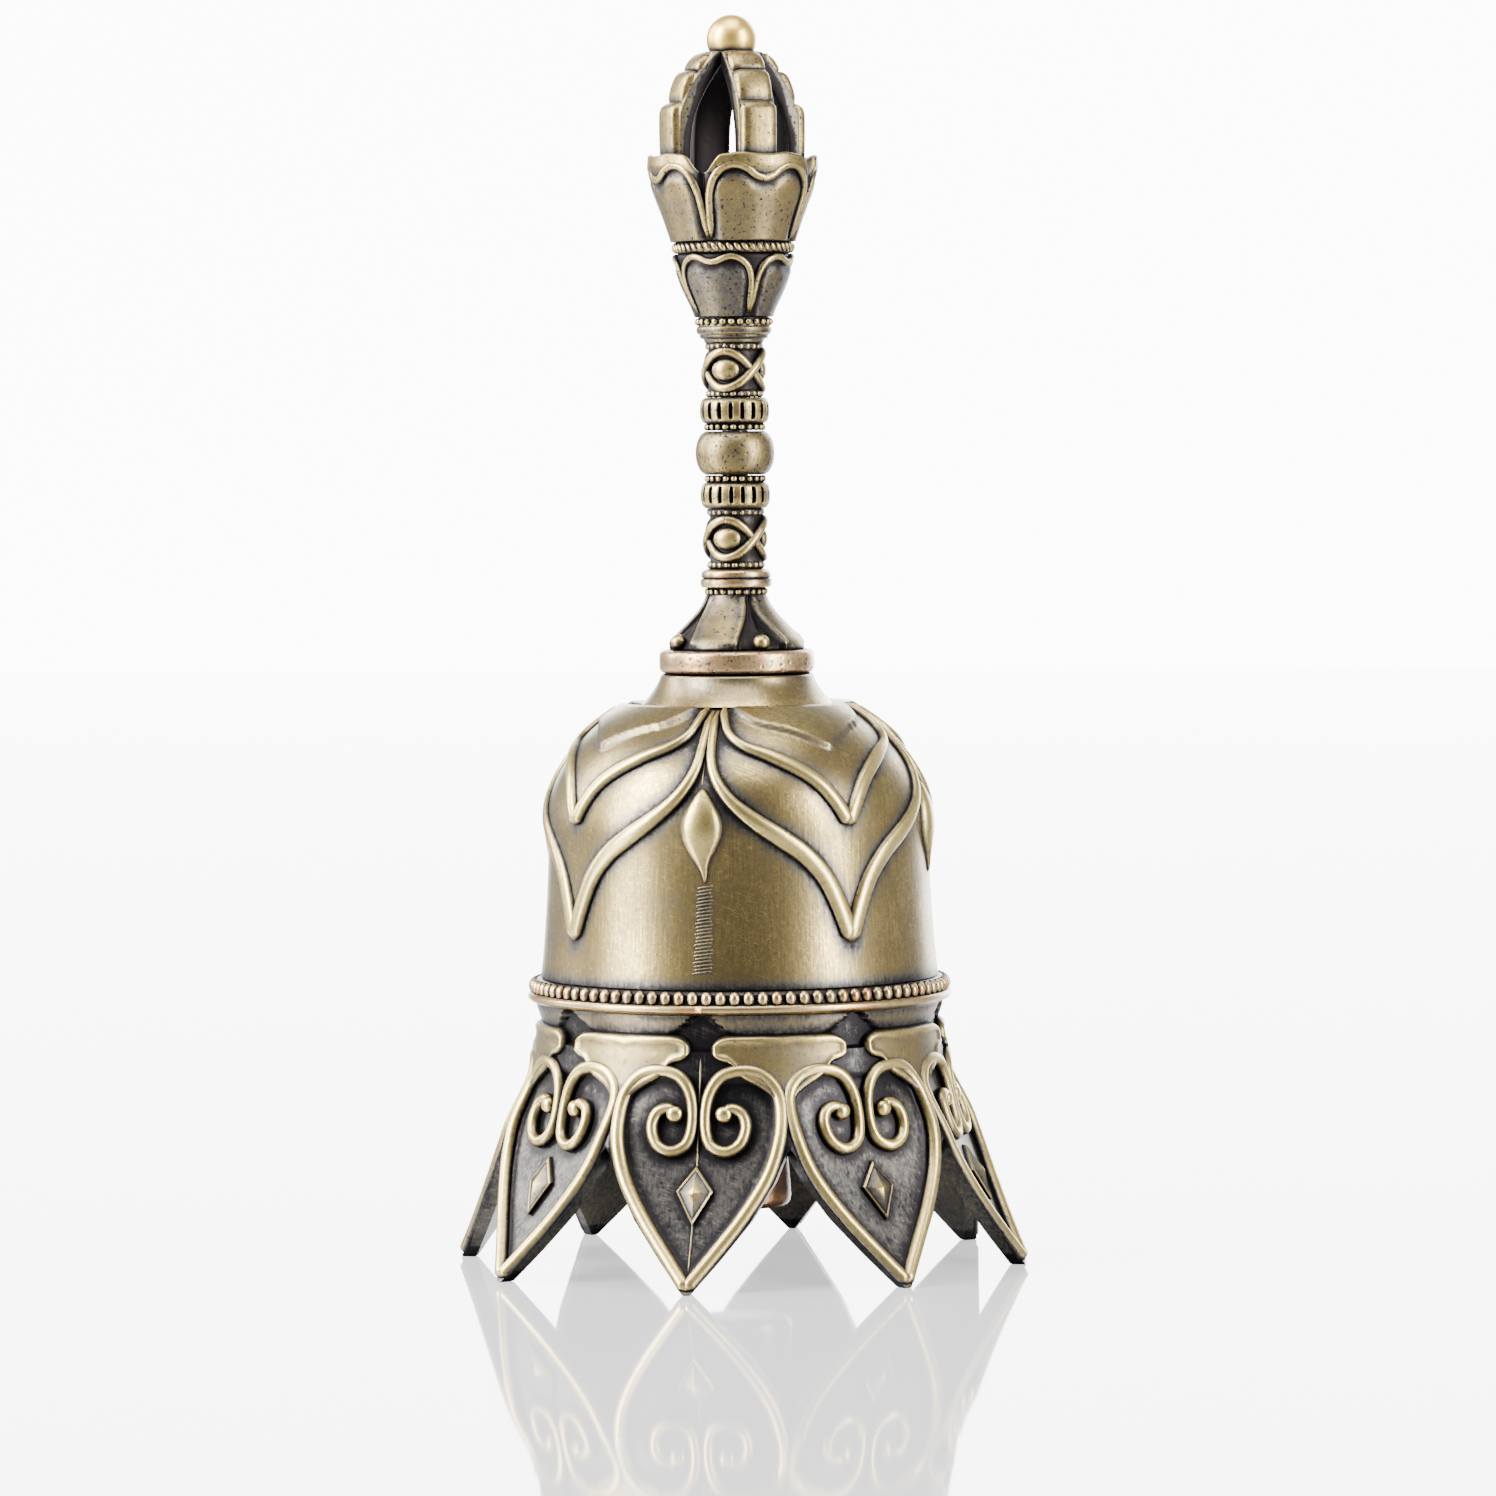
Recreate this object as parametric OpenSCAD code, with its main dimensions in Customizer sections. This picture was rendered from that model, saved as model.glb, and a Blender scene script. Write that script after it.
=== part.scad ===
// Tibetan hand bell: a cast bell with a skirt of eight heart petals, a clapper hung on a ring,
// and a vajra handle of cast pieces stacked on one tie rod.
// Millimetres, +Z up. The origin is on the axis, in the plane that the petal tips stand on.

/* [Bell] */
// Height of the bell casting, from the petal tips to its flat crown
bell_h = 56.8; // [50:0.1:68]
// Outside radius of the petal tips
rim_r = 27.7; // [25:0.1:34]
// Outside radius of the waist above the petals
waist_r = 19.3; // [18.5:0.1:22]
// Height of the waist
waist_z = 22; // [19:0.1:24]
// How strongly the skirt curves outwards; 1 is a straight cone
skirt_flare = 1.25; // [1:0.05:1.6]
// Outside radius of the dome's wall
dome_r = 18.3; // [16:0.1:18.8]
// Height of the closing part of the dome
dome_rise = 11.8; // [9:0.1:14]
// Radius at which the dome runs under the crown collar
shoulder_r = 9.6; // [9.2:0.1:12]
// Wall of the skirt
skirt_wall = 1.5; // [1.2:0.1:2]
// Wall of the dome
dome_wall = 1.8; // [1.4:0.1:2.4]
// Thickness of the crown that the handle is bolted to
crown_t = 3.4; // [2.6:0.1:4.4]
// Height of the conical collar on the crown
collar_h = 2.9; // [2.2:0.1:3.6]
// Radius of the collar at its foot
collar_r = 9.15; // [8:0.05:9.15]

/* [Beaded band] */
// Outside radius of the band
band_r = 20.4; // [20:0.1:23]
// Height of the band's middle above the tips
band_z = 26.4; // [25:0.1:28]
// Half the height of the band
band_round = 1.7; // [1.2:0.1:2]

/* [Petals] */
// Number of heart petals round the skirt
petals = 8; // [8:1:8]
// Half the width of a heart
heart_w = 8.05; // [6.5:0.05:8.05]
// Height of a heart's widest place
heart_z = 16.6; // [14:0.1:16.6]
// Half the width of the flat that each petal stands on
tip_w = 0.6; // [0.4:0.1:1]
// Height below which the hearts are cut free of each other
web_z = 12.8; // [10:0.1:13.5]
// Width of the diamond on a heart
diamond_w = 2.9; // [2:0.1:3.4]
// Height of the diamond
diamond_h = 4.8; // [3.6:0.1:5.4]
// How far the diamond stands out of the skirt
relief = 0.5; // [0.3:0.1:0.8]

/* [Handle] */
// Angle the tightened handle stands at against the bell, in degrees
handle_turn = 34; // [0:1:90]
// Angle of the interlaced eyes against the lotus petals, in degrees
knot_turn = -43; // [-60:1:60]
// Diameter of the threaded tie rod
rod_d = 2.5; // [2:0.1:3]
// Radial clearance of the handle pieces on the rod
rod_clear = 0.1; // [0.05:0.01:0.2]
// Radius of the base flange
flange_r = 7.45; // [6.9:0.05:8]
// Height of the base flange
flange_h = 2.3; // [1.8:0.1:3]
// Height of the flared base above the flange
flare_h = 5.9; // [5:0.1:7]
// Radius of the flared base at its foot
flare_r = 6.3; // [5.5:0.1:6.9]
// Radius of the two fluted rings
fluted_r = 3.35; // [3.2:0.05:4]
// Height of a fluted ring with its bead row
fluted_h = 3.2; // [2.8:0.1:4]
// Number of slots in a fluted ring
flutes = 18; // [12:1:24]
// Radius of the round grip
grip_r = 3.81; // [3.5:0.01:5]
// Height of the round grip
grip_h = 4.25; // [3.8:0.05:5]
// Height of the lower collar
low_collar_h = 1.85; // [1.6:0.05:2.4]
// Radius of the lower collar
low_collar_r = 3.37; // [3.1:0.01:4]
// Height of the lower knot sleeve
low_knot_h = 5.8; // [5:0.1:7]
// Height of the upper knot sleeve
up_knot_h = 5.25; // [4.6:0.05:6.5]
// Radius of a knot sleeve between its ribbons
knot_core_r = 2.5; // [2.3:0.1:3]
// Radius over the ribbons
knot_r = 3.1; // [3:0.1:3.8]
// Height of the upper collar with its bead row
up_collar_h = 2.45; // [2.2:0.05:3]

/* [Lotus cups and vajra] */
// Height of the lower lotus cup
low_cup_h = 6.1; // [5:0.1:7.4]
// Radius of the lower lotus cup at its rim
low_cup_r = 5.75; // [5.2:0.05:6.8]
// Radius of the lower lotus cup at its foot
low_cup_foot_r = 3.7; // [3.4:0.1:4.4]
// Height of the twisted rope ring
rope_h = 1.1; // [0.9:0.1:1.4]
// Radius over the rope ring
rope_r = 5.95; // [5.4:0.05:7]
// Height of the upper lotus cup
up_cup_h = 8.3; // [7:0.1:10]
// Radius of the upper lotus cup at its rim
up_cup_r = 8.2; // [7.8:0.1:9.8]
// Radius of the upper lotus cup at its foot
up_cup_foot_r = 5.7; // [5:0.1:6.5]
// Wall of the upper lotus cup above its floor
cup_wall = 0.85; // [0.6:0.05:1]
// Depth of the upper lotus cup above its floor
cup_depth = 2.1; // [1.6:0.1:3]
// Gap between a prong's outer corners and the cup's wall
prong_clear = 0.05; // [0.02:0.01:0.1]
// Width of a prong
prong_w = 3.4; // [2.8:0.1:3.4]
// Height of the prongs above the cup's floor
prong_h = 12.05; // [10:0.05:14]
// Radius of the finial ball
finial_r = 2.33; // [2:0.01:3]

/* [Clapper] */
// Length of the clapper's weight
weight_h = 15.7; // [12:0.1:18.8]
// Radius of the weight at its foot
weight_r = 4.8; // [4:0.1:5.2]
// Radius of the weight at its top
weight_top_r = 3.2; // [2.6:0.1:3.8]
// Height of the weight's foot above the petal tips
weight_z = 5.3; // [4.5:0.1:7]
// Wire radius of the hanging eye and the shank's eye
eye_wire_r = 0.55; // [0.45:0.05:0.6]
// Radius of the wire circle of each eye
eye_r = 1.7; // [1.6:0.05:2]
// Wire radius of the ring between them
ring_wire_r = 0.5; // [0.4:0.05:0.55]
// Radius of the wire circle of that ring
ring_r = 1.75; // [1.65:0.05:2]
// Gap left between linked wires
link_gap = 0.05; // [0.02:0.01:0.1]
// Radius of the shank
shank_r = 0.8; // [0.6:0.05:1]

/* [Hidden] */
$fn = 72;

gold = "#b39a62";
dark = "#6f6550";
copper = "#7a4a2c";
steel = "#9a9a98";

prongs = 4;                             // vajra prongs, and petals on each cup
rod_r = rod_d / 2;
bore_r = rod_r + rod_clear;
past = 1;                               // how far a cutting shape runs past a face
bead_h = 0.7;                           // height of a small bead row
bead_r_in = 0.35;                       // how far a bead row stands behind its piece
base_ball_r = 0.75;                     // the four balls on the flared base
stone_r = 1.05;                         // the stones of the knot sleeves
stone_out = 0.5;                        // how far a stone stands out of its sleeve
slot_w = 0.32;                          // the slots of the fluted rings
slot_depth = 0.35;
edge_r = 0.3;                           // rounding of the turned collars and the flange
finial_seat = 0.25;                     // width of the ball's seat on the prong tips

// Levels of the stack, each piece seated on the one below
crown_z = bell_h;
flare_z = crown_z + flange_h;
low_collar_z = flare_z + flare_h;
low_knot_z = low_collar_z + low_collar_h;
low_fluted_z = low_knot_z + low_knot_h;
grip_z = low_fluted_z + fluted_h;
up_fluted_z = grip_z + grip_h;
up_knot_z = up_fluted_z + fluted_h;
up_collar_z = up_knot_z + up_knot_h;
low_cup_z = up_collar_z + up_collar_h;
rope_z = low_cup_z + low_cup_h;
up_cup_z = rope_z + rope_h;
cup_floor_z = up_cup_z + up_cup_h - cup_depth;
prong_top_z = cup_floor_z + prong_h;
prong_r = sqrt(pow(up_cup_r - cup_wall - prong_clear, 2) - pow(prong_w / 2, 2));

// Under the crown: a washer, a nut and the hanging eye on the end of the rod
seat_z = bell_h - crown_t;
washer_t = 0.6;
washer_r = 3.6;
nut_h = 2.2;
nut_r = 2.9;                            // over the corners
boss_h = 2.2;
boss_r = 2.2;
nut_z = seat_z - washer_t - nut_h;
boss_z = nut_z - boss_h;
rod_low_z = boss_z + eye_wire_r + 0.2;    // clear of the eye's wire
rod_grip = 4;                           // thread length in the upper cup
eye_z = boss_z - eye_r;
ring_pivot_z = eye_z - eye_r + eye_wire_r + link_gap + ring_wire_r;
ring_z = ring_pivot_z - ring_r;
shank_pivot_z = ring_z - ring_r + ring_wire_r + link_gap + eye_wire_r;
shank_eye_z = shank_pivot_z - eye_r;
weight_top_z = weight_z + weight_h;
shank_grip = 6;                         // thread length in the weight

// Points of an arc, from angle a to angle b
function arc(x, y, r, a, b, n = 8) = [
    for (i = [0:n]) let (t = a + (b - a) * i / n) [x + r * cos(t), y + r * sin(t)]
];

// Outside of the skirt at height z
function skirt_r(z) =
    waist_r + (rim_r - waist_r) * pow(max(0, (waist_z - z) / waist_z), skirt_flare);

// Half the width of a heart at a height below its widest place
function heart_x(z) = tip_w + (heart_w - tip_w) * (1 - pow((heart_z - z) / heart_z, 2));

function mirrored(p) = [for (i = [len(p) - 1:-1:0]) [-p[i][0], p[i][1]]];

// A flat outline in x and z, drawn out towards the front
module outwards(length) rotate([90, 0, 0]) linear_extrude(height = length) children();

// The same thing several times round the axis
module around(n, turn = 0) for (k = [0:n - 1]) rotate([0, 0, turn + 360 * k / n]) children();

// ---- Bell ----
dome_b = dome_rise / sqrt(1 - pow(shoulder_r / dome_r, 2));   // the dome is part of an ellipse
spring_z = bell_h - collar_h - dome_rise;                      // where the dome starts to close
foot_r = dome_r + 0.6;                                         // wall just above the band
collar_top_r = flange_r - 0.15;                                // the flange stands over it
band_top = band_z + band_round;

function dome_outer() = [
    for (i = [0:9]) let (z = spring_z + dome_rise * sin(10 * i))
        [dome_r * sqrt(1 - pow((z - spring_z) / dome_b, 2)), z]
];
function dome_inner() = let (a = dome_r - dome_wall, b = dome_b - dome_wall, top = seat_z - spring_z) [
    for (i = [9:-1:0]) let (z = top * sin(10 * i)) [a * sqrt(1 - pow(z / b, 2)), spring_z + z]
];
function skirt_line(offset) = [for (i = [0:10]) let (z = waist_z * i / 10) [skirt_r(z) - offset, z]];
function reversed(p) = [for (i = [len(p) - 1:-1:0]) p[i]];

module bell_shell() {
    rotate_extrude() polygon(concat(
        skirt_line(0),
        [[waist_r - 0.2, band_z - band_round]],
        arc(band_r - band_round, band_z, band_round, -80, 80, 10),
        [[foot_r, band_top], [dome_r + 0.15, (band_top + spring_z) / 2]],
        dome_outer(),
        [[collar_r - 0.3, bell_h - collar_h]],
        [for (i = [0:5]) let (u = 1 - i / 5)
            [collar_top_r + (collar_r - collar_top_r) * pow(u, 1.8), bell_h - (collar_h - edge_r) * u]],
        [[0, bell_h], [0, seat_z]],
        dome_inner(),
        [[foot_r - dome_wall, band_z]],
        reversed(skirt_line(skirt_wall))
    ));
}

// The open notch between two hearts
module notch() {
    step = 180 / petals;
    side = [
        for (i = [0:8]) let (z = web_z * i / 8, r = skirt_r(z), a = step - asin(heart_x(z) / r))
            [max(0.01, r * sin(a)), z]
    ];
    open = [[side[0][0] + 1, -past]];
    apex = [[0, web_z + side[8][0]]];
    outwards(rim_r + 2 * past) polygon(concat(open, side, apex, mirrored(side), mirrored(open)));
}

// The diamond on a heart, standing square to the leaning skirt
module diamond() {
    z = heart_z * 0.42;
    lean = atan((skirt_r(z - 1) - skirt_r(z + 1)) / 2);
    translate([0, -skirt_r(z), z]) rotate([90 - lean, 0, 0]) translate([0, 0, -skirt_wall / 2])
        linear_extrude(height = skirt_wall / 2 + relief)
            polygon([[0, -diamond_h / 2], [diamond_w / 2, 0], [0, diamond_h / 2], [-diamond_w / 2, 0]]);
}

module bell_body() color(gold) {
    difference() {
        bell_shell();
        around(petals, 180 / petals) notch();
        translate([0, 0, seat_z - past]) cylinder(r = bore_r, h = crown_t + 2 * past);
    }
    around(petals) diamond();
}

// ---- Handle pieces on the rod ----
// A turned piece standing at height z, with the clearance hole for the rod
module turned(z, h, points) translate([0, 0, z]) difference() {
    rotate_extrude() polygon(concat([[0, 0]], points, [[0, h]]));
    translate([0, 0, -past]) cylinder(r = bore_r, h = h + 2 * past);
}

module base_flange() color(copper) turned(crown_z, flange_h, concat(
    [[flange_r - 2 * edge_r, 0], [flange_r - 2 * edge_r, edge_r / 2]],
    arc(flange_r - edge_r, edge_r * 1.5, edge_r, -90, 0, 3),
    arc(flange_r - edge_r, flange_h - edge_r, edge_r, 0, 90, 3)
));

module flared_base() color(gold) {
    neck_r = low_collar_r - 0.5;
    turned(flare_z, flare_h, concat(
        [for (i = [0:8]) let (t = i / 8)
            [neck_r + (flare_r - neck_r) * pow(1 - t, 1.7), t * (flare_h - bead_h)]],
        [[neck_r + 0.15, flare_h - bead_h], [neck_r + 0.15, flare_h]]
    ));
    around(prongs, handle_turn) translate([0, -flare_r + base_ball_r / 2, flare_z + base_ball_r])
        sphere(r = base_ball_r);
}

module lower_collar() color(gold) turned(low_collar_z, low_collar_h, concat(
    arc(low_collar_r - edge_r, edge_r, edge_r, -90, 0, 3),
    [[low_collar_r, low_collar_h * 0.5], [low_collar_r - edge_r, low_collar_h * 0.6]],
    arc(low_collar_r - 2 * edge_r, low_collar_h - edge_r, edge_r, 0, 90, 3)
));

// A sleeve with a bead row at each end and the stones of three interlaced eyes
eyes = 3;
module knot_sleeve(z, h) {
    turned(z, h, [
        [knot_core_r + 0.2, 0], [knot_core_r + 0.2, bead_h], [knot_core_r, bead_h],
        [knot_core_r, h - bead_h], [knot_core_r + 0.2, h - bead_h], [knot_core_r + 0.2, h]
    ]);
    difference() {
        around(eyes, handle_turn + knot_turn) translate([0, -knot_core_r - stone_out + stone_r, z + h / 2])
            sphere(r = stone_r);
        translate([0, 0, z]) cylinder(r = (bore_r + knot_core_r) / 2, h = h);
    }
}

module lower_knot_sleeve() color(gold) knot_sleeve(low_knot_z, low_knot_h);
module upper_knot_sleeve() color(gold) knot_sleeve(up_knot_z, up_knot_h);

// The bead row is at the end next to the grip
module fluted_ring(z) difference() {
    ring_h = fluted_h - bead_h;
    turned(z, fluted_h, concat(
        arc(fluted_r - ring_h * 0.42, ring_h / 2, ring_h * 0.42, -78, 78, 8),
        [[fluted_r - bead_r_in, ring_h], [fluted_r - bead_r_in, fluted_h]]
    ));
    around(flutes) translate([-slot_w / 2, -fluted_r - past, z + ring_h * 0.24])
        cube([slot_w, past + slot_depth, ring_h * 0.52]);
}
module lower_fluted_ring() color(gold) fluted_ring(low_fluted_z);
module upper_fluted_ring() color(gold)
    translate([0, 0, 2 * up_fluted_z + fluted_h]) mirror([0, 0, 1]) fluted_ring(up_fluted_z);

// The grip is flattened where it seats on the rings
module grip_ball() color(gold) turned(grip_z, grip_h, [
    for (i = [0:12]) let (t = -1 + 2 * i / 12, seat = fluted_r - bead_r_in - 0.1)
        [seat + (grip_r - seat) * sqrt(max(0, 1 - pow(t, 2) * 0.98)), grip_h * (1 + t) / 2]
]);

module upper_collar() color(gold) {
    step = (up_collar_h - bead_h) / 2;
    turned(up_collar_z, up_collar_h, concat(
        [[knot_r - 0.2, 0], [knot_r + 0.1, 0.15], [knot_r + 0.25, step]],
        [[knot_r + 0.35, step + 0.1], [low_cup_foot_r, step * 2], [low_cup_foot_r, up_collar_h]]
    ));
}

// Outside radius of a cup, over a share t of its height
function cup_r(foot, rim, t) = foot + (rim - foot) * pow(sin(90 * t), 0.9);

// Notch between two lotus petals, from height z to past the rim
module petal_gap(z, width, top, length) {
    mid = [width * 0.35, (z + top) / 2];
    outwards(length) polygon([[0, z], mid, [width, top], [-width, top], [-mid[0], mid[1]]]);
}

module lower_lotus_cup() color(dark) difference() {
    turned(low_cup_z, low_cup_h, [
        for (i = [0:8]) [cup_r(low_cup_foot_r, low_cup_r, i / 8), low_cup_h * i / 8]
    ]);
    around(prongs, handle_turn) translate([0, 0, low_cup_z]) difference() {
        petal_gap(low_cup_h * 0.5, low_cup_r * 0.28, low_cup_h + past, low_cup_r + past);
        cylinder(r = low_cup_r - cup_wall, h = low_cup_h + 2 * past);
    }
}

module rope_ring() color(gold)
    turned(rope_z, rope_h, arc(rope_r - rope_h / 2, rope_h / 2, rope_h / 2, -90, 90, 10));

module upper_lotus_cup() color(gold) {
    rim_z = up_cup_h;
    gap_w = up_cup_r * 0.27;
    widening = up_cup_r - up_cup_foot_r;
    difference() {
        translate([0, 0, up_cup_z]) rotate_extrude() polygon(concat(
            [[0, 0]],
            [for (i = [0:8]) let (t = i / 8)
                [up_cup_foot_r + widening * (t + 0.1 * sin(180 * t)), rim_z * 0.9 * t]],
            [[up_cup_r - 0.1, rim_z], [up_cup_r - cup_wall, rim_z]],
            [[up_cup_r - cup_wall, rim_z - cup_depth]],
            [[0, rim_z - cup_depth]]
        ));
        translate([0, 0, up_cup_z - past]) cylinder(r = rod_r, h = rod_grip + past);
        around(prongs, handle_turn + 180 / prongs) translate([0, 0, up_cup_z])
            petal_gap(rim_z - cup_depth + 0.2, gap_w, rim_z + past, up_cup_r + past);
    }
}

// A side view, drawn in distance from the axis and height, standing w thick on the cup's floor
module slab(w) translate([0, 0, cup_floor_z]) rotate([90, 0, -90]) translate([0, 0, -w / 2])
    linear_extrude(height = w) children();

// A prong in three steps, with a narrower keel towards the axis
inner_r = prong_w / 2 + 0.05;           // the prongs just clear each other at the top
module prong(k) color(gold) rotate([0, 0, handle_turn + 360 / prongs * k]) {
    h = prong_h;
    slab(prong_w) polygon([
        [prong_r, 0], [prong_r, h * 0.55], [prong_r - 0.4, h * 0.6], [prong_r - 1.2, h * 0.62],
        [prong_r - 2.1, h * 0.85], [prong_r - 2.8, h * 0.88], [inner_r + 1.35, h * 0.9], [inner_r + 0.9, h],
        [inner_r, h], [inner_r, h * 0.9], [prong_r - 3.2, h * 0.69], [prong_r - 1.5, h * 0.46],
        [prong_r - 1.15, 0]
    ]);
    slab(prong_w / 2) polygon([
        [prong_r - 0.6, 0], [prong_r - 0.6, h * 0.5], [prong_r - 2.7, h * 0.72], [inner_r + 0.3, h * 0.93],
        [inner_r, h * 0.82], [prong_r - 3.6, h * 0.55], [prong_r - 2.7, h * 0.35], [prong_r - 2.5, 0]
    ]);
}
module vajra_prong_1() prong(0);
module vajra_prong_2() prong(1);
module vajra_prong_3() prong(2);
module vajra_prong_4() prong(3);

// The ball is cut flat to stand on the prong tips, with a round peg between them
module finial_ball() color(gold) {
    dip = sqrt(pow(finial_r, 2) - pow(inner_r + finial_seat, 2));
    peg_h = prong_h * 0.1;
    translate([0, 0, prong_top_z + dip]) difference() {
        sphere(r = finial_r);
        translate([0, 0, -dip - finial_r]) cylinder(r = 2 * finial_r, h = finial_r);
    }
    translate([0, 0, prong_top_z - peg_h]) cylinder(r = inner_r, h = peg_h + dip / 2);
}

// ---- Tie rod and what hangs on it ----
module tie_rod() color(steel) translate([0, 0, rod_low_z])
    cylinder(r = rod_r, h = up_cup_z + rod_grip - rod_low_z);

module crown_washer() color(steel) translate([0, 0, seat_z - washer_t]) difference() {
    cylinder(r = washer_r, h = washer_t);
    translate([0, 0, -past]) cylinder(r = bore_r, h = washer_t + 2 * past);
}

module crown_nut() color(steel) translate([0, 0, nut_z]) difference() {
    cylinder(r = nut_r, h = nut_h, $fn = 6);
    translate([0, 0, -past]) cylinder(r = rod_r, h = nut_h + 2 * past);
}

// A wire circle standing in the XZ plane
module wire_eye(z, r, wire) translate([0, 0, z]) rotate([90, 0, 0])
    rotate_extrude() translate([r, 0]) circle(r = wire);

module hanger_eye() color(steel) {
    difference() {
        translate([0, 0, boss_z - 0.3]) cylinder(r = boss_r, h = boss_h + 0.3);
        translate([0, 0, rod_low_z]) cylinder(r = rod_r, h = boss_h + past);
    }
    wire_eye(eye_z, eye_r, eye_wire_r);
}

module hanger_ring() color(steel) rotate([0, 0, 90]) wire_eye(ring_z, ring_r, ring_wire_r);

module clapper_shank() color(steel) {
    wire_eye(shank_eye_z, eye_r, eye_wire_r);
    shank_top = shank_eye_z - eye_r;
    foot = weight_top_z - shank_grip;
    translate([0, 0, foot]) cylinder(r = shank_r, h = shank_top + eye_wire_r / 2 - foot);
}

module clapper_weight() color(copper) translate([0, 0, weight_z]) difference() {
    edge = 0.4;
    rotate_extrude() polygon(concat(
        [[0, 0]],
        arc(weight_r - edge, edge, edge, -90, 0, 4),
        arc(weight_top_r - 2 * edge, weight_h - 2 * edge, 2 * edge, 0, 90, 5),
        [[0, weight_h]]
    ));
    translate([0, 0, weight_h - shank_grip]) cylinder(r = shank_r, h = shank_grip + past);
}

bell_body();
base_flange();
flared_base();
lower_collar();
lower_knot_sleeve();
lower_fluted_ring();
grip_ball();
upper_fluted_ring();
upper_knot_sleeve();
upper_collar();
lower_lotus_cup();
rope_ring();
upper_lotus_cup();
vajra_prong_1();
vajra_prong_2();
vajra_prong_3();
vajra_prong_4();
finial_ball();
tie_rod();
crown_washer();
crown_nut();
hanger_eye();
hanger_ring();
clapper_shank();
clapper_weight();
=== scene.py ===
import math

import bmesh
import bpy
import numpy as np
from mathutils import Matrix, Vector


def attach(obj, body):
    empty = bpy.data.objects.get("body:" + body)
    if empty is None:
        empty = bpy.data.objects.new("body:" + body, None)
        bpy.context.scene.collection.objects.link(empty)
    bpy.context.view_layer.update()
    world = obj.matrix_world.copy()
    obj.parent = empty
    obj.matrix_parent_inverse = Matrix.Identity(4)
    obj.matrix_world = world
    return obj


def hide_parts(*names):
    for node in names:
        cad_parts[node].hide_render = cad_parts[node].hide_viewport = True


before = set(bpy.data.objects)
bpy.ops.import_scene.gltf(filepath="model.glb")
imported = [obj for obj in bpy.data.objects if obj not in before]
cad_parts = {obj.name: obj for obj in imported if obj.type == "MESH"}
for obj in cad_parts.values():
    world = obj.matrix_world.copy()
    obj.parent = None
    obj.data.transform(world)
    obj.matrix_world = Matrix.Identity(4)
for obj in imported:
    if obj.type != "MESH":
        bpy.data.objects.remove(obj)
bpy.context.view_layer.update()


# ---- Camera ----
# A long lens on a low tripod, about two thirds of a metre off, a little to the bell's right
# and looking slightly down on it. The bell stands a hair out of plumb in the view.
MM = 0.001
scene = bpy.context.scene
STAND = (660, 80)                       # distance from the bell's axis and height, mm
AIM = (1.0, 49.55)                      # where it looks: right of the axis and height, mm
turn = math.radians(11)                 # to the bell's right
camera = bpy.data.objects.new("camera", bpy.data.cameras.new("camera"))
scene.collection.objects.link(camera)
scene.camera = camera
camera.location = Vector((STAND[0] * math.sin(turn), -STAND[0] * math.cos(turn), STAND[1])) * MM
aim = Vector((AIM[0] * math.cos(turn), AIM[0] * math.sin(turn), AIM[1])) * MM
camera.rotation_mode = "QUATERNION"
camera.rotation_quaternion = (aim - camera.location).to_track_quat("-Z", "Y")
camera.rotation_mode = "XYZ"
camera.rotation_euler.rotate_axis("Z", math.radians(-0.5))
camera.data.lens = 165
camera.data.sensor_width = 36
camera.data.clip_start = 0.01


# ---- Floor and studio light ----
# A sheet of glossy white acrylic with a lit white wall behind it. A big softbox stands to the left
# of the camera, narrow ones at both sides and one overhead; the room is dim behind the camera.
WHITE = 11.5                                            # brightness that comes out as plain white


def sheet(name, corners):
    """A flat stage piece from its corners, in metres."""
    mesh = bpy.data.meshes.new(name)
    mesh.from_pydata(corners, [], [tuple(range(len(corners)))])
    obj = bpy.data.objects.new(name, mesh)
    scene.collection.objects.link(obj)
    return obj


def white_plastic(name, roughness, glow):
    """A white material that glows for the camera, and less so for what reflects it."""
    mat = bpy.data.materials.new(name)
    mat.use_nodes = True
    tree = mat.node_tree
    shader = tree.nodes["Principled BSDF"]
    shader.inputs["Base Color"].default_value = (0.3, 0.3, 0.31, 1)
    shader.inputs["Roughness"].default_value = roughness
    shader.inputs["IOR"].default_value = 2.8
    shader.inputs["Emission Color"].default_value = (1, 1, 1, 1)
    path = tree.nodes.new("ShaderNodeLightPath")
    power = tree.nodes.new("ShaderNodeMapRange")
    power.inputs["To Min"].default_value = glow[1]
    power.inputs["To Max"].default_value = glow[0]
    tree.links.new(path.outputs["Is Camera Ray"], power.inputs["Value"])
    tree.links.new(power.outputs[0], shader.inputs["Emission Strength"])
    return mat


floor = sheet("floor", [(-6, -6, 0), (6, -6, 0), (6, 1.6, 0), (-6, 1.6, 0)])
floor.data.materials.append(white_plastic("acrylic", 0.04, (0.8, 0.02)))
wall = sheet("wall", [(-0.8, 1.6, 0), (0.8, 1.6, 0), (0.8, 1.6, 1.0), (-0.8, 1.6, 1.0)])
wall.data.materials.append(white_plastic("lit wall", 0.9, (WHITE, WHITE)))


def softbox(name, azimuth, elevation, distance, size, watts, colour=(1, 1, 1)):
    """A square lamp that faces the bell, in degrees round it and up, metres and watts."""
    lamp = bpy.data.lights.new(name, "AREA")
    lamp.shape = "RECTANGLE"
    lamp.size, lamp.size_y = size
    lamp.energy = watts
    lamp.color = colour
    holder = bpy.data.objects.new(name, lamp)
    scene.collection.objects.link(holder)
    a, e = math.radians(azimuth), math.radians(elevation)
    way = Vector((math.sin(a) * math.cos(e), -math.cos(a) * math.cos(e), math.sin(e)))
    holder.location = Vector((0, 0, 0.05)) + way * distance
    holder.rotation_euler = (-way).to_track_quat("-Z", "Y").to_euler()


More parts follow.
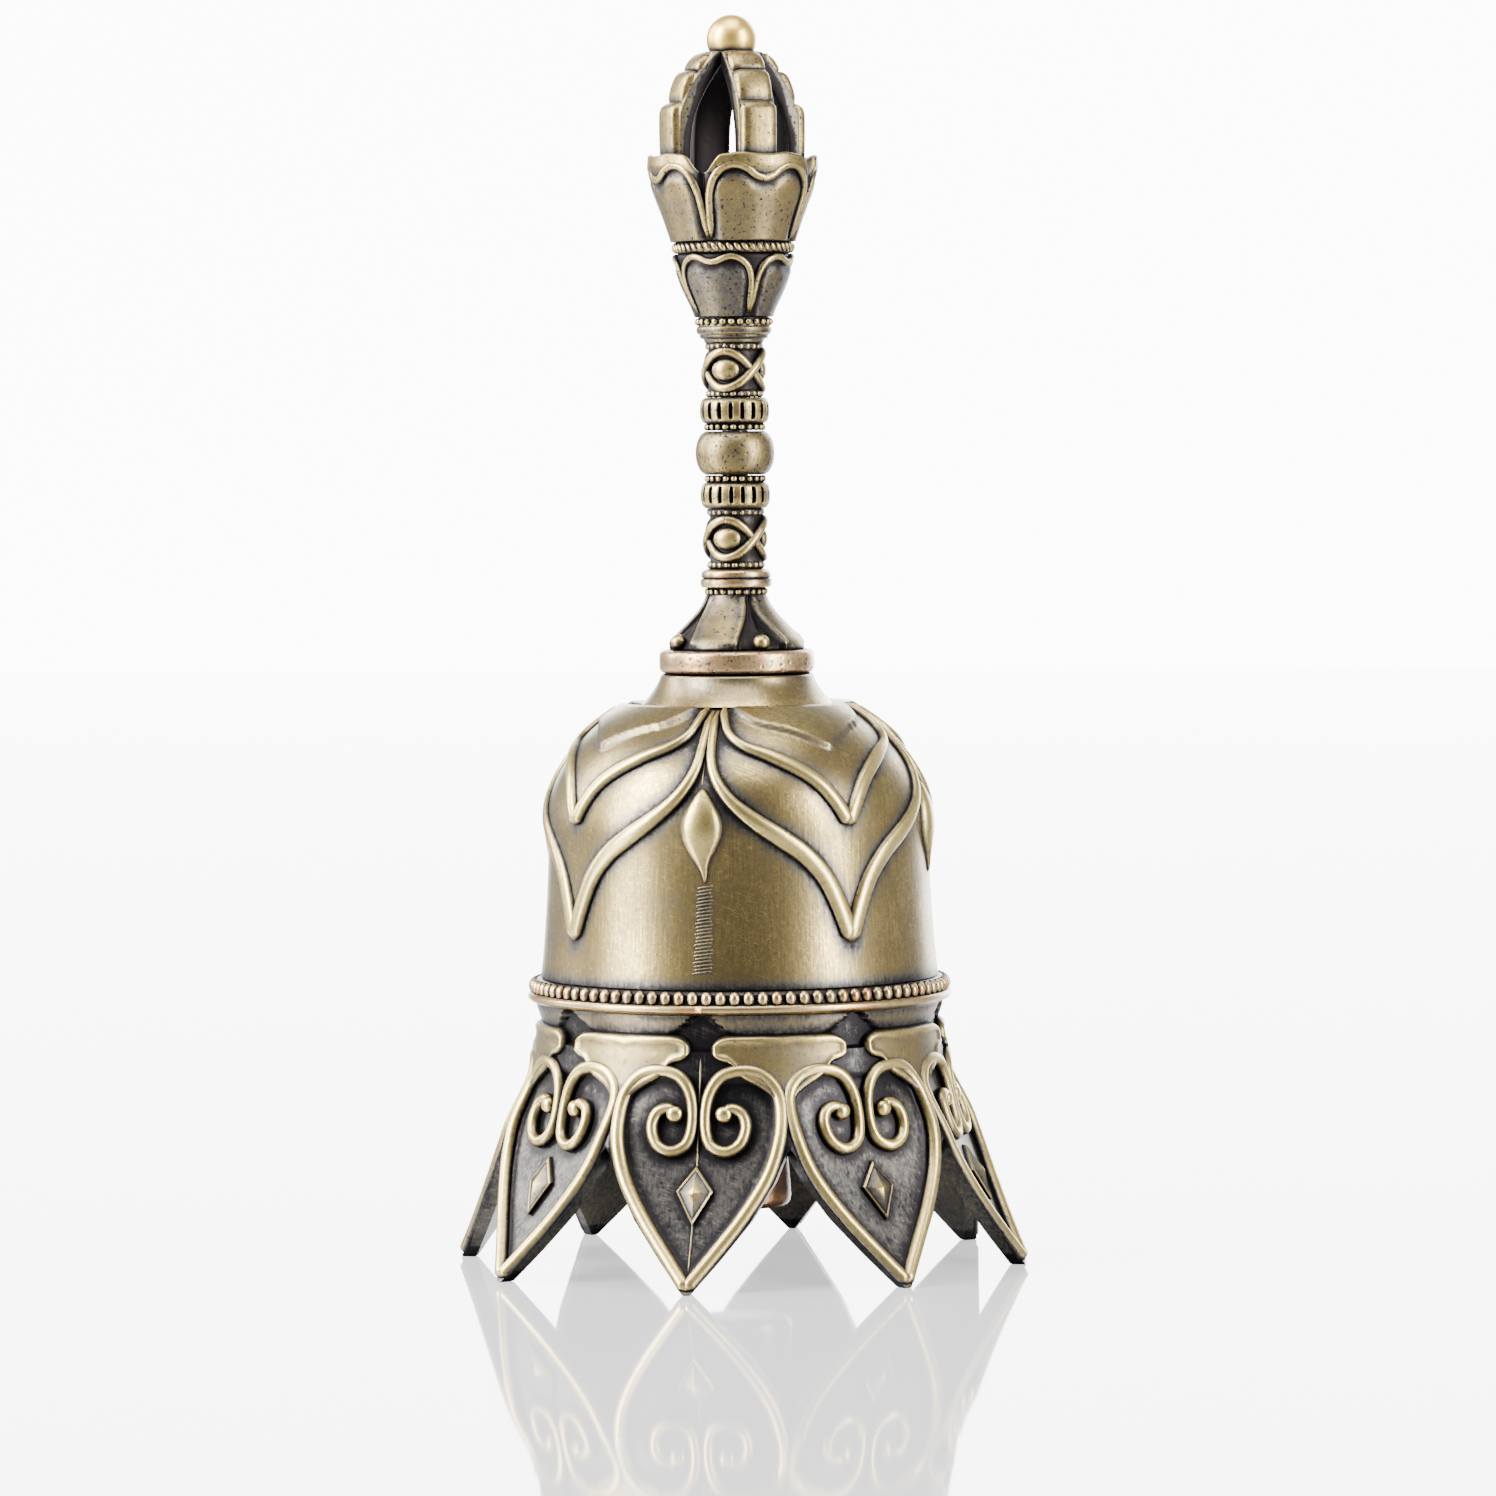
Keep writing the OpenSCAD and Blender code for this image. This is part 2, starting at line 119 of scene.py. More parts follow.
softbox("key", -58, 27, 0.75, (0.3, 0.7), 33)
softbox("side", 68, 17, 0.7, (0.16, 0.5), 12)
softbox("left edge", -102, 24, 0.7, (0.1, 0.5), 7)
softbox("top", 10, 76, 0.7, (0.5, 0.5), 8)

world = bpy.data.worlds.new("studio")
scene.world = world
world.use_nodes = True
sky = world.node_tree
where = sky.nodes.new("ShaderNodeTexCoord")
parts = sky.nodes.new("ShaderNodeSeparateXYZ")
shade = sky.nodes.new("ShaderNodeMapRange")
shade.inputs["From Min"].default_value = -1
shade.inputs["From Max"].default_value = 0.6
shade.inputs["To Min"].default_value = 0.1
shade.inputs["To Max"].default_value = 0.9
sky.links.new(where.outputs["Generated"], parts.inputs[0])
sky.links.new(parts.outputs["Y"], shade.inputs["Value"])
path = sky.nodes.new("ShaderNodeLightPath")
pick = sky.nodes.new("ShaderNodeMix")
pick.inputs[3].default_value = WHITE
sky.links.new(path.outputs["Is Camera Ray"], pick.inputs[0])
sky.links.new(shade.outputs[0], pick.inputs[2])
sky.links.new(pick.outputs[0], sky.nodes["Background"].inputs["Strength"])
sky.nodes["Background"].inputs["Color"].default_value = (1, 1, 1, 1)


# ---- Bell casting ----
# One casting in bell metal: collar, dome with its petal relief, beaded band, waist and a skirt of
# eight flat heart petals. It was dipped dark, then rubbed, so hollows stay nearly black and
# whatever stands out is bright. The sizes are millimetres, as everywhere below.
COLLAR_TOP, COLLAR_LIP = (7.35, 56.75), (9.1, 53.95)    # radius, height
DOME_R, DOME_SPRING, DOME_RISE = 18.3, 42.1, 13.86
BAND_TOP = 27.7
WAIST_R = 18.8
PETALS, SKIRT_TOP = 8, 22.0
WALL = 1.5
SECTOR = math.pi / PETALS                               # half the angle of a petal
QUARTER = math.pi / 2                                   # the dome and the handle's cups have four petals
HOLE_R, CROWN_TOP, CROWN_UNDER = 1.35, 56.8, 53.4       # the rod's hole through the crown
INSIDE_R, INSIDE_RISE = 16.5, 12.06                     # hollow of the dome


def smooth(x, low, high):
    """0 below low, 1 above high, and a soft step between."""
    t = np.clip((np.asarray(x, float) - low) / (high - low), 0, 1)
    return t * t * (3 - 2 * t)


def through(points, count):
    """An even, rounded path of count points through the chosen ones (Catmull-Rom)."""
    p = np.array(points, float)
    p = np.vstack([2 * p[0] - p[1], p, 2 * p[-1] - p[-2]])
    fine = []
    for i in range(1, len(p) - 2):
        for t in np.linspace(0, 1, 24, endpoint=False):
            a, b, c, d = p[i - 1:i + 3]
            fine.append(0.5 * (2 * b + (c - a) * t + (2 * a - 5 * b + 4 * c - d) * t ** 2
                               + (3 * b - a - 3 * c + d) * t ** 3))
    fine = np.array(fine + [p[-2]])
    steps = np.concatenate([[0], np.cumsum(np.linalg.norm(np.diff(fine, axis=0), axis=1))])
    even = np.linspace(0, steps[-1], count)
    return np.column_stack([np.interp(even, steps, fine[:, k]) for k in range(fine.shape[1])])


def spin(radius, angle, z):
    """Points at an angle from the front (-Y), turning towards +X."""
    radius, angle, z = np.broadcast_arrays(np.asarray(radius, float), angle, z)
    return np.stack([radius * np.sin(angle), -radius * np.cos(angle), z], -1)


def turned_by(points, angle):
    """Points turned round the bell's axis."""
    c, s = math.cos(angle), math.sin(angle)
    p = np.asarray(points, float)
    return np.stack([p[..., 0] * c - p[..., 1] * s, p[..., 0] * s + p[..., 1] * c, p[..., 2]], -1)


def grid_faces(rows, cols, ring=False):
    """Faces of a grid whose points run along each row; ring joins a row's end to its start."""
    last = cols if ring else cols - 1
    return [(r * cols + c, r * cols + (c + 1) % cols,
             (r + 1) * cols + (c + 1) % cols, (r + 1) * cols + c)
            for r in range(rows - 1) for c in range(last)]


def piece(name, parts, material, sharp=None):
    """One mesh object from (points, faces, wear) parts in mm; wear is 0 in a hollow, 1 on a crest."""
    start, faces = 0, []
    for points, some, _ in parts:
        faces += [tuple(start + i for i in f) for f in some]
        start += len(points)
    mesh = bpy.data.meshes.new(name)
    mesh.from_pydata((np.concatenate([p for p, _, _ in parts]) * MM).tolist(), [], faces)
    worn = mesh.attributes.new("wear", "FLOAT", "POINT")
    worn.data.foreach_set("value", np.concatenate([np.broadcast_to(w, len(p)) for p, _, w in parts]))
    bm = bmesh.new()
    bm.from_mesh(mesh)
    bmesh.ops.remove_doubles(bm, verts=bm.verts, dist=0.004 * MM)
    bmesh.ops.dissolve_degenerate(bm, edges=bm.edges, dist=0.002 * MM)
    bmesh.ops.recalc_face_normals(bm, faces=bm.faces)
    bm.to_mesh(mesh)
    bm.free()
    mesh.shade_smooth()
    if sharp:
        mesh.set_sharp_from_angle(angle=math.radians(sharp))
    mesh.materials.append(material)
    obj = bpy.data.objects.new(name, mesh)
    scene.collection.objects.link(obj)
    return obj


def hand_over(obj, body, slot, *nodes):
    """Rides on a body in the place of CAD nodes; slot is not used."""
    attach(obj, body)
    if nodes:
        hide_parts(*nodes)
    return obj


def node(tree, kind, inputs=None, **settings):
    """Adds a node: settings are its properties, inputs its sockets' values or links."""
    made = tree.nodes.new(kind)
    for key, value in settings.items():
        setattr(made, key, value)
    for key, value in (inputs or {}).items():
        if isinstance(value, bpy.types.NodeSocket):
            tree.links.new(value, made.inputs[key])
        else:
            made.inputs[key].default_value = value
    return made


def noise(tree, place, scale, detail):
    """A fine noise pattern's strength."""
    made = node(tree, "ShaderNodeTexNoise", {"Vector": place, "Scale": scale, "Detail": detail})
    return made.outputs["Fac"]


def remap(tree, value, low, high, to_low=0.0, to_high=1.0):
    """A value carried from one range to another and held at its ends."""
    return node(tree, "ShaderNodeMapRange", {"Value": value, "From Min": low, "From Max": high,
                                             "To Min": to_low, "To Max": to_high}).outputs[0]


def aged_metal(name, dark, mid, bright, rough=(0.5, 0.28), hollow=1.2, grain=0.26, brush=0.25,
               lie=(1, 1, 0.06), tint=None, shift=0.0, scratches=0.0, pitted=0.0):
    """Patinated metal: dark in hollows within `hollow` mm and bright where worn, with cast grain and
    a brushed lay. `lie` draws the brushing out along an axis; `tint` is a colour showing in patches and
    how much. `scratches` are bright slanting cuts, `pitted` small dark holes; `shift` lightens it all."""
    mat = bpy.data.materials.new(name)
    mat.use_nodes = True
    tree = mat.node_tree
    shader = tree.nodes["Principled BSDF"]
    place = node(tree, "ShaderNodeTexCoord").outputs["Object"]
    # Hollows darken here as patina. Close to the floor the same term also paints the floor's shade, which
    # the skirt's tip rows lift again.
    shut = node(tree, "ShaderNodeAmbientOcclusion", {"Distance": hollow * MM}, samples=8)
    worn = node(tree, "ShaderNodeAttribute", attribute_name="wear").outputs["Fac"]
    clouds = noise(tree, place, 210.0, 4.0)
    specks = noise(tree, place, 1900.0, 3.0)
    squeeze = node(tree, "ShaderNodeMapping", {"Vector": place, "Scale": lie})
    lines = noise(tree, squeeze.outputs[0], 4200.0, 2.0)
    slanted = node(tree, "ShaderNodeVectorRotate", {"Vector": place, "Angle": math.radians(68)},
                   rotation_type="Y_AXIS")
    drawn = node(tree, "ShaderNodeMapping", {"Vector": slanted.outputs[0], "Scale": (1, 1, 0.03)})
    cuts = remap(tree, noise(tree, drawn.outputs[0], 5200.0, 1.0), 0.57, 0.72)
    holes = remap(tree, noise(tree, place, 3600.0, 1.0), 0.63, 0.72)

    def plus(a, b, times):
        return node(tree, "ShaderNodeMath", {0: b, 1: times, 2: a}, operation="MULTIPLY_ADD").outputs[0]

    level = plus(-1.1 + shift - 0.17 - (grain + brush) / 2, shut.outputs["AO"], 1.15)
    level = plus(level, worn, 0.8)
    for pattern, times in ((clouds, 0.34), (specks, grain), (lines, brush), (cuts, scratches),
                           (holes, -pitted)):
        level = plus(level, pattern, times)
    ramp = node(tree, "ShaderNodeValToRGB", {"Fac": level})
    stops = ramp.color_ramp.elements
    stops[0].position, stops[0].color = 0.05, (*dark, 1)
    stops[1].position, stops[1].color = 0.95, (*bright, 1)
    middle = stops.new(0.52)
    middle.color = (*mid, 1)
    pewter = stops.new(0.26)                            # half-rubbed patina is nearly grey
    pewter.color = (*[0.14 * sum(mid) + 0.08 * m for m in mid], 1)
    colour = ramp.outputs["Color"]
    if tint:
        patches = remap(tree, noise(tree, place, 330.0, 2.0), 0.5, 0.62, 0.0, tint[3])
        mixed = node(tree, "ShaderNodeMix", {"Factor": patches}, data_type="RGBA", blend_type="MULTIPLY")
        tree.links.new(colour, mixed.inputs[6])
        mixed.inputs[7].default_value = (*tint[:3], 1)
        colour = mixed.outputs[2]
    tree.links.new(colour, shader.inputs["Base Color"])
    tree.links.new(remap(tree, level, 0.1, 0.9, *rough), shader.inputs["Roughness"])
    shader.inputs["Metallic"].default_value = 1.0
    relief = plus(plus(0.0, specks, 0.7), lines, 1.4 * brush)
    bump = node(tree, "ShaderNodeBump", {"Height": relief, "Strength": 0.4, "Distance": 0.06 * MM})
    tree.links.new(bump.outputs[0], shader.inputs["Normal"])
    return mat


bell_metal = aged_metal("bell metal", (0.012, 0.011, 0.012), (0.215, 0.16, 0.066), (0.7, 0.53, 0.2),
                        rough=(0.42, 0.2), brush=0.3, scratches=0.12)


def apothem(z):
    """How far the middle of a heart petal stands from the axis."""
    return 19.0 + 8.8 * np.clip((SKIRT_TOP - z) / SKIRT_TOP, 0, 1) ** 1.5


def heart_edge(z):
    """Half the width of a heart petal, past the notch between petals."""
    return np.interp(z, [0, 3, 6.5, 10, 12.4, 13.4], [0.3, 2.8, 5.5, 7.5, 8.35, 9.05])


def petal_away(x, z):
    """How far forward a point of the front petal stands: flat low down, round at the waist."""
    a, rounder = apothem(z), smooth(z, 13, 20)
    return a * (1 - rounder) + np.sqrt(np.maximum((a + 0.45) ** 2 - x ** 2, 1)) * rounder


def on_petal(x, z, out=0.0):
    """A point on the front petal, out mm in front of its face."""
    return np.stack(np.broadcast_arrays(x, -(petal_away(x, z) + out), z), -1).astype(float)


def dome_radius(z):
    """Radius of the dome's ground: nearly upright up to the spring, then an ellipse."""
    low = DOME_R + 0.85 * np.clip((DOME_SPRING - z) / (DOME_SPRING - BAND_TOP), 0, 1) ** 1.8
    high = DOME_R * np.sqrt(np.clip(1 - (np.maximum(z - DOME_SPRING, 0) / DOME_RISE) ** 2, 0, 1))
    return np.where(z > DOME_SPRING, high, low)


def on_dome(angle, z, out=0.0):
    """Points and outward unit vectors on the dome's ground."""
    z = np.asarray(z, float)
    lean = np.arctan2(dome_radius(z - 0.05) - dome_radius(z + 0.05), 0.1)
    away = spin(np.cos(lean), angle, np.sin(lean))
    return spin(dome_radius(z), angle, z) + away * np.asarray(out)[..., None], away


# Half outlines of a dome petal's two ribs and its soft leaf edge: degrees from its middle, height
OUTER_RIB = [(43.7, 53.4), (43.5, 50.5), (42, 48), (37, 45.6), (29.5, 43.6), (21, 41.8), (14, 40.2),
             (7.8, 38), (3.4, 35.2), (-0.3, 32)]
INNER_RIB = [(40.6, 53.6), (39.5, 52.4), (37, 51.1), (31.5, 50.1), (22.5, 49.2), (14, 48), (8, 46.7),
             (3.8, 45.1), (-0.3, 43)]
LEAF_EDGE = [(38, 53.6), (27, 52.1), (15, 51.4), (7.4, 50.7), (0, 49.8)]


def inside_outline(angle, z, outline, blur):
    """1 inside a half outline on the dome and 0 outside, softened over blur mm."""
    side = through(outline, 60)
    edge = np.interp(z, side[::-1, 1], np.radians(side[::-1, 0]), left=-0.2,
                     right=math.radians(outline[0][0]))
    return smooth((edge - np.abs(angle)) * dome_radius(z), -blur, blur)


def dome_relief(angle, z):
    """Height of the four petals over the dome's ground; they stand at 45 degrees from the front."""
    local = angle % QUARTER - QUARTER / 2
    return (0.2 * inside_outline(local, z, OUTER_RIB, 0.3) + 0.2 * inside_outline(local, z, INNER_RIB, 0.3)
            + 0.4 * inside_outline(local, z, LEAF_EDGE, 0.45))


def shade_by_ribs(angle, z):
    """Wear of the dome's ground: the patina stayed beside the ribs, most of all outside the petals."""
    local = np.abs(angle % QUARTER - QUARTER / 2)
    here = on_dome(local, z)[0]
    worn = np.full(len(angle), 0.6)
    for outline, deep, wide in ((OUTER_RIB, 0.55, 1.4), (INNER_RIB, 0.36, 1.2), (LEAF_EDGE, 0.16, 0.5)):
        half = through(outline, 90)
        line = on_dome(np.radians(half[:, 0]), half[:, 1])[0]
        near = np.min(np.linalg.norm(here[:, None] - line[None], axis=2), axis=1)
        worn -= deep * np.exp(-(near / wide) ** 2)
    strip = smooth(np.abs((angle + math.pi) % (2 * math.pi) - math.pi - 0.016), 0.05, 0.035)   # file marks
    return worn - 0.3 * strip * smooth(z, 29, 29.4) * smooth(z, 37.6, 37.2)


# Rib of a heart petal, one half: tip, side, lobe, down the middle and round into the scroll (x, z)
HEART_RIB = [(-0.1, 0.45), (2.15, 3.3), (4.7, 6.7), (6.7, 10.1), (7.6, 12.9), (7.8, 15.4), (7.3, 17.9),
             (5.8, 19.7), (3.7, 20.15), (1.85, 19.5), (0.8, 17.7), (0.6, 15.2), (1.15, 13.35), (2.65, 12.7),
             (4.0, 13.4), (4.5, 14.9), (4.05, 16.2), (3.0, 16.65), (2.35, 16.1)]
heart_rib = through(HEART_RIB, 170)
outline_of_heart = heart_rib[:100]                      # without the scroll


def heart_recess(x, z):
    """How far the panel inside a heart's rib is sunk under the petal's rim."""
    near = np.hypot(np.abs(x)[:, None] - outline_of_heart[:, 0], z - outline_of_heart[:, 1]).min(axis=1)
    hit = np.zeros(len(x), bool)
    side = np.vstack([outline_of_heart[:-6], [[0, outline_of_heart[-7, 1]]], [[0, 0]]])
    for (x1, z1), (x2, z2) in zip(side, np.roll(side, -1, 0)):
        if (z1 > z) != (z2 > z):
            hit ^= np.abs(x) < x1 + (z - z1) * (x2 - x1) / (z2 - z1)
    return -0.3 * smooth(near, 0.3, 0.8) * hit


# The wall, from the collar down the outside to the petal tips and back up the inside to the crown.
# Every row has the same columns, so many to a petal; neighbours meet above the notches only.
COLS = 42
u = np.linspace(-1, 1, COLS + 1)
angles = (np.arange(PETALS)[:, None] * 2 * SECTOR + u * SECTOR).ravel()
rows, wears, is_open = [], [], []


def round_row(radius, z, wear=0.2):
    """A row all the way round at one radius or at one for each column."""
    rows.append(spin(np.broadcast_to(radius, angles.shape), angles, z))
    wears.append(np.broadcast_to(wear, angles.shape))
    is_open.append(False)


def petal_row(z, out, wear):
    """A row of the skirt: the same stretch of petal eight times round."""
    half = apothem(z) * math.tan(SECTOR)
    for _ in range(8):                                  # closes in on where two petals would meet
        half = (petal_away(half, z) + out) * math.tan(SECTOR)
    open_here = heart_edge(z) < half
    half = float(min(half, heart_edge(z)))
    x = u * half
    deep = heart_recess(x, z) if out == 0 and z < 19.4 else 0
    front = on_petal(x, z, out + deep)
    rows.append(np.concatenate([turned_by(front, 2 * k * SECTOR) for k in range(PETALS)]))
    wears.append(np.tile(np.broadcast_to(wear, x.shape), PETALS))
    is_open.append(bool(open_here))


for r, z, w in [(HOLE_R, CROWN_TOP, 0.2), (COLLAR_TOP[0] - 0.3, CROWN_TOP, 0.4),
                (COLLAR_TOP[0], 56.65, 0.8)]:
    round_row(r, z, w)
for t in np.linspace(0.1, 1, 9):
    round_row(COLLAR_TOP[0] + (COLLAR_LIP[0] - COLLAR_TOP[0]) * t ** 1.5,
              COLLAR_TOP[1] + (COLLAR_LIP[1] - COLLAR_TOP[1]) * t, 0.45 + 0.4 * t ** 6)
for r, z, w in [(9.18, 53.85, 0.8), (9.1, 53.72, 0.3), (8.9, 53.66, 0.0), (9.2, 53.64, 0.1)]:
    round_row(r, z, w)
for t in np.linspace(0.03, 1, 40):                       # over the shoulder, by its slope
    tilt = math.radians(34 + (84 - 34) * t)
    z = DOME_SPRING + DOME_RISE * math.cos(tilt)
    level = np.full(angles.shape, z)
    lift = dome_relief(angles, level)
    round_row(dome_radius(z) + lift * math.sin(tilt), z + lift * math.cos(tilt),
              shade_by_ribs(angles, level))
for z in np.linspace(43.3, BAND_TOP, 52):
    level = np.full(angles.shape, z)
    round_row(dome_radius(z) + dome_relief(angles, level), z,
              shade_by_ribs(angles, level) - 0.3 * smooth(z, 29.5, 27.8))
for r, z, w in [(19.0, 27.62, 0.2), (19.6, 27.5, 0.3), (19.8, 27.3, 0.2), (19.75, 26.9, 0.0),
                (19.85, 26.42, 0.1), (20.2, 26.3, 0.7), (20.38, 26.1, 1.0), (20.37, 25.75, 1.0),
                (20.15, 25.5, 0.7), (19.7, 25.36, 0.3)]:
    round_row(r, z, w)
from_heart = np.abs((angles + SECTOR) % (2 * SECTOR) - SECTOR)
for z in np.linspace(25.25, 22.2, 16):                   # cove, with a tent cut over each heart
    tent = smooth(math.radians(3.7) * (25.75 - z) - from_heart, -0.005, 0.005)
    cove = 19.62 - 0.55 * smooth(25.3 - z, 0, 2.2)
    round_row(WAIST_R + (cove - WAIST_R) * (1 - tent) * smooth(z, 22.6, 23.3), z, 0.38 - 0.38 * tent)
skirt = np.concatenate([np.linspace(21.9, 0.3, 64), [0.08]])
# Over the last millimetre to the tips, and on the tips and up the back, the wear is raised. The hollow
# darkening also counts the floor and paints its shade there; this lift cancels that painted shade.
for z in skirt:
    petal_row(z, 0.0, 0.13 - 0.1 * smooth(z, 16, 19) + 0.6 * smooth(z, 1.0, 0.0))
outer_end = len(rows)
petal_row(0.0, -0.2, 0.8)
petal_row(0.0, -WALL + 0.2, 0.8)
for z in skirt[::-1]:
    petal_row(z, -WALL, 0.25 + 0.5 * smooth(z, 1.0, 0.0))
for r, z in [(17.4, 23.5), (17.3, 27), (16.8, 32), (INSIDE_R, 37), (INSIDE_R, DOME_SPRING)]:
    round_row(r, z)
for t in np.linspace(0.1, 1, 10):
    z = DOME_SPRING + 11.3 * math.sin(math.pi / 2 * t)
    round_row(INSIDE_R * math.sqrt(1 - ((z - DOME_SPRING) / INSIDE_RISE) ** 2), z)
round_row(HOLE_R, CROWN_UNDER)
round_row(HOLE_R, CROWN_TOP)
wide = len(angles)
shell_faces = [f for i, f in enumerate(grid_faces(len(rows), wide))
               if (i % (wide - 1)) % (COLS + 1) != COLS]
for i in range(outer_end - len(skirt), outer_end):       # the petals' sides, from face to back
    j = 2 * outer_end + 1 - i
    if is_open[i] or is_open[j] or is_open[min(i + 1, outer_end - 1)]:
        for k in range(PETALS):
            for c in (k * (COLS + 1), k * (COLS + 1) + COLS):
                shell_faces.append((i * wide + c, (i + 1) * wide + c, (j - 1) * wide + c, j * wide + c))
shell = piece("bell_shell", [(np.concatenate(rows), shell_faces, np.concatenate(wears))], bell_metal, 50)
hand_over(shell, "bell", "bell_metal", "bell_body")


# ---- Relief of the dome ----
# Four broad petals with a double rib, a leaf bud between each two, all raised in the casting. The
# front bud has a strip of file marks below it, where a flaw in the casting was dressed.
RIB_W, RIB_H = 1.85, 0.7


def slab(top, under, wear=0.7, foot=0.15):
    """A closed body between two grids of points; it is rubbed on top and dark at its foot."""
    rows, cols = top.shape[:2]
    n = rows * cols
    faces = grid_faces(rows, cols) + [tuple(n + i for i in f[::-1]) for f in grid_faces(rows, cols)]
    edge = ([c for c in range(cols)] + [r * cols + cols - 1 for r in range(1, rows)]
            + [(rows - 1) * cols + c for c in range(cols - 2, -1, -1)]
            + [r * cols for r in range(rows - 2, 0, -1)])
    faces += [(b, a, n + a, n + b) for a, b in zip(edge, edge[1:] + edge[:1])]
    return (np.concatenate([top.reshape(-1, 3), under.reshape(-1, 3)]), faces,
            np.concatenate([np.broadcast_to(wear, (rows, cols)).ravel(), np.full(n, foot)]))


def rib(path, out, width, height, crest=0.95, ends=0.35, crown=1.0):
    """A raised rib along a path; out points away from the metal it stands on. Its section is half
    round, or flatter on top with a lower crown."""
    path, out = np.asarray(path, float), np.asarray(out, float)
    along = np.gradient(path, axis=0)
    side = np.cross(along, out)
    side /= np.linalg.norm(side, axis=1)[:, None] + 1e-12
    arch = np.radians([-14, 8, 32, 60, 90, 120, 148, 172, 194])
    rise = np.sign(np.sin(arch)) * np.abs(np.sin(arch)) ** crown
    across, up = np.append(np.cos(arch) / 2, [-0.3, 0.3]), np.append(rise * height, [-0.5, -0.5])
    size = np.ones(len(path))
    size[0] = size[-1] = ends
    size[1] = size[-2] = (1 + ends) / 2
    wide = (np.broadcast_to(width, size.shape) * size)[:, None]
    rings = (path[:, None] + side[:, None] * (across * wide)[..., None]
             + out[:, None] * (up * size[:, None])[..., None])
    n, m = rings.shape[:2]
    faces = grid_faces(n, m, ring=True) + [tuple(range(m))[::-1], tuple(range((n - 1) * m, n * m))]
    worn = np.clip(np.append(rise, [0, 0]), 0, 1) ** 0.8 * crest
    return rings.reshape(-1, 3), faces, np.tile(worn, n)


rib_metal = aged_metal("rubbed bell metal", (0.015, 0.013, 0.013), (0.22, 0.165, 0.066),
                       (0.73, 0.57, 0.215), brush=0.1, hollow=0.7, pitted=0.2)
relief = []
for k in range(4):
    middle_angle = QUARTER / 2 + k * QUARTER
    for outline, up in ((OUTER_RIB, 0.0), (INNER_RIB, 0.2)):
        half = through(outline, 90)
        for side in (-1, 1):
            where, out = on_dome(middle_angle + side * np.radians(half[:, 0]), half[:, 1], up)
            wide = (RIB_W if up == 0 else RIB_W * 0.82) * (0.55 + 0.45 * smooth(np.arange(90), 5, 50))
            relief.append(rib(where, out, wide, RIB_H, crown=0.62))
BUD = [(46.6, 0.0), (46.2, 0.45), (45.3, 1.1), (44.2, 1.75), (43.1, 2.05), (42.0, 1.95), (40.9, 1.45),
       (39.9, 0.85), (39.0, 0.42), (38.2, 0.22), (37.6, 0.0)]       # height, half width
for k in range(4):
    line = through(BUD, 30)
    share = np.linspace(-1, 1, 11)[None]
    x = line[:, 1][:, None] * share
    drift = 0.35 * smooth(40.6 - line[:, 0], 0, 2.8)[:, None]
    z = np.broadcast_to(line[:, 0][:, None], x.shape)
    high = 0.85 * np.sqrt(np.clip(1 - share ** 2, 0, 1)) * np.sqrt(line[:, 1] / 2.05)[:, None]
    angle = k * QUARTER + (x + drift) / dome_radius(z)
    relief.append(slab(on_dome(angle, z, high)[0], on_dome(angle, z, -0.3)[0], 0.5 + 0.5 * high))
z = np.linspace(37.3, 29.3, 25)
for i, mark in enumerate(z):
    low, high = -1.3 - 0.05 * i + 0.3 * math.sin(i * 2.3), 3.1 + 0.3 * math.cos(i * 1.7)
    where, out = on_dome(np.radians(np.linspace(low, high, 8)), mark + np.linspace(-0.06, 0.18, 8), -0.03)
    relief.append(rib(where, out, 0.2, 0.1, 0.62))
z = np.linspace(53.2, 46.8, 24)                         # seam between the two front petals
relief.append(rib(*on_dome(np.full(24, -0.004), z, -0.02), 0.22, 0.12, 0.75))
hand_over(piece("dome_ribs", relief, rib_metal), "bell", "bell_metal")


# ---- Hearts and plates of the skirt ----
# Each petal carries a heart in raised rib whose two ends curl into scrolls, with a small pyramid
# below; two opposite petals have the mould's seam. Flat-topped plates bridge the petals at the waist.
def petal_out(x, z):
    """Unit vectors square to the front petal's face."""
    d = 0.05
    across = on_petal(x + d, z) - on_petal(x - d, z)
    up = on_petal(x, z + d) - on_petal(x, z - d)
    out = np.cross(across, up)
    return out / np.linalg.norm(out, axis=-1)[..., None]


def ball(centre, size, wear=0.95, cols=20, rows=12):
    """A closed ball or egg: size is its three radii."""
    v = np.linspace(0.001, math.pi - 0.001, rows + 1)[:, None]
    h = np.linspace(0, 2 * math.pi, cols, endpoint=False)[None]
    unit = np.stack([np.sin(v) * np.cos(h), np.sin(v) * np.sin(h), np.cos(v) + 0 * h], -1)
    faces = grid_faces(rows + 1, cols, ring=True)
    faces += [tuple(range(cols))[::-1], tuple(range(rows * cols, (rows + 1) * cols))]
    return unit.reshape(-1, 3) * size + centre, faces, np.full((rows + 1) * cols, wear)


def turned_part(part, angle):
    """One (points, faces, wear) part turned round the bell's axis."""
    return (turned_by(part[0], angle), *part[1:])


relief = []
for k in range(PETALS):
    for side in (-1, 1):
        x, z = side * heart_rib[:, 0], heart_rib[:, 1]
        wide = 1.4 - 0.22 * smooth(np.arange(len(x)), 95, 120)
        relief.append(turned_part(rib(on_petal(x, z, -0.04), petal_out(x, z), wide, 0.7), 2 * k * SECTOR))
        x, z = side * HEART_RIB[-1][0], HEART_RIB[-1][1] + 0.05
        relief.append(turned_part(ball(on_petal(x, z, 0.2), (0.82, 0.6, 0.8)), 2 * k * SECTOR))
    if k in (0, PETALS // 2):                           # the mould's two halves met here
        z = np.linspace(1.4, 21.3, 40)
        seam = on_petal(0 * z, z, -0.31 + 0.3 * smooth(z, 12.4, 13.4))
        relief.append(turned_part(rib(seam, petal_out(0 * z, z), 0.2, 0.12, 0.6), 2 * k * SECTOR))
hand_over(piece("heart_ribs", relief, rib_metal), "bell", "bell_metal")

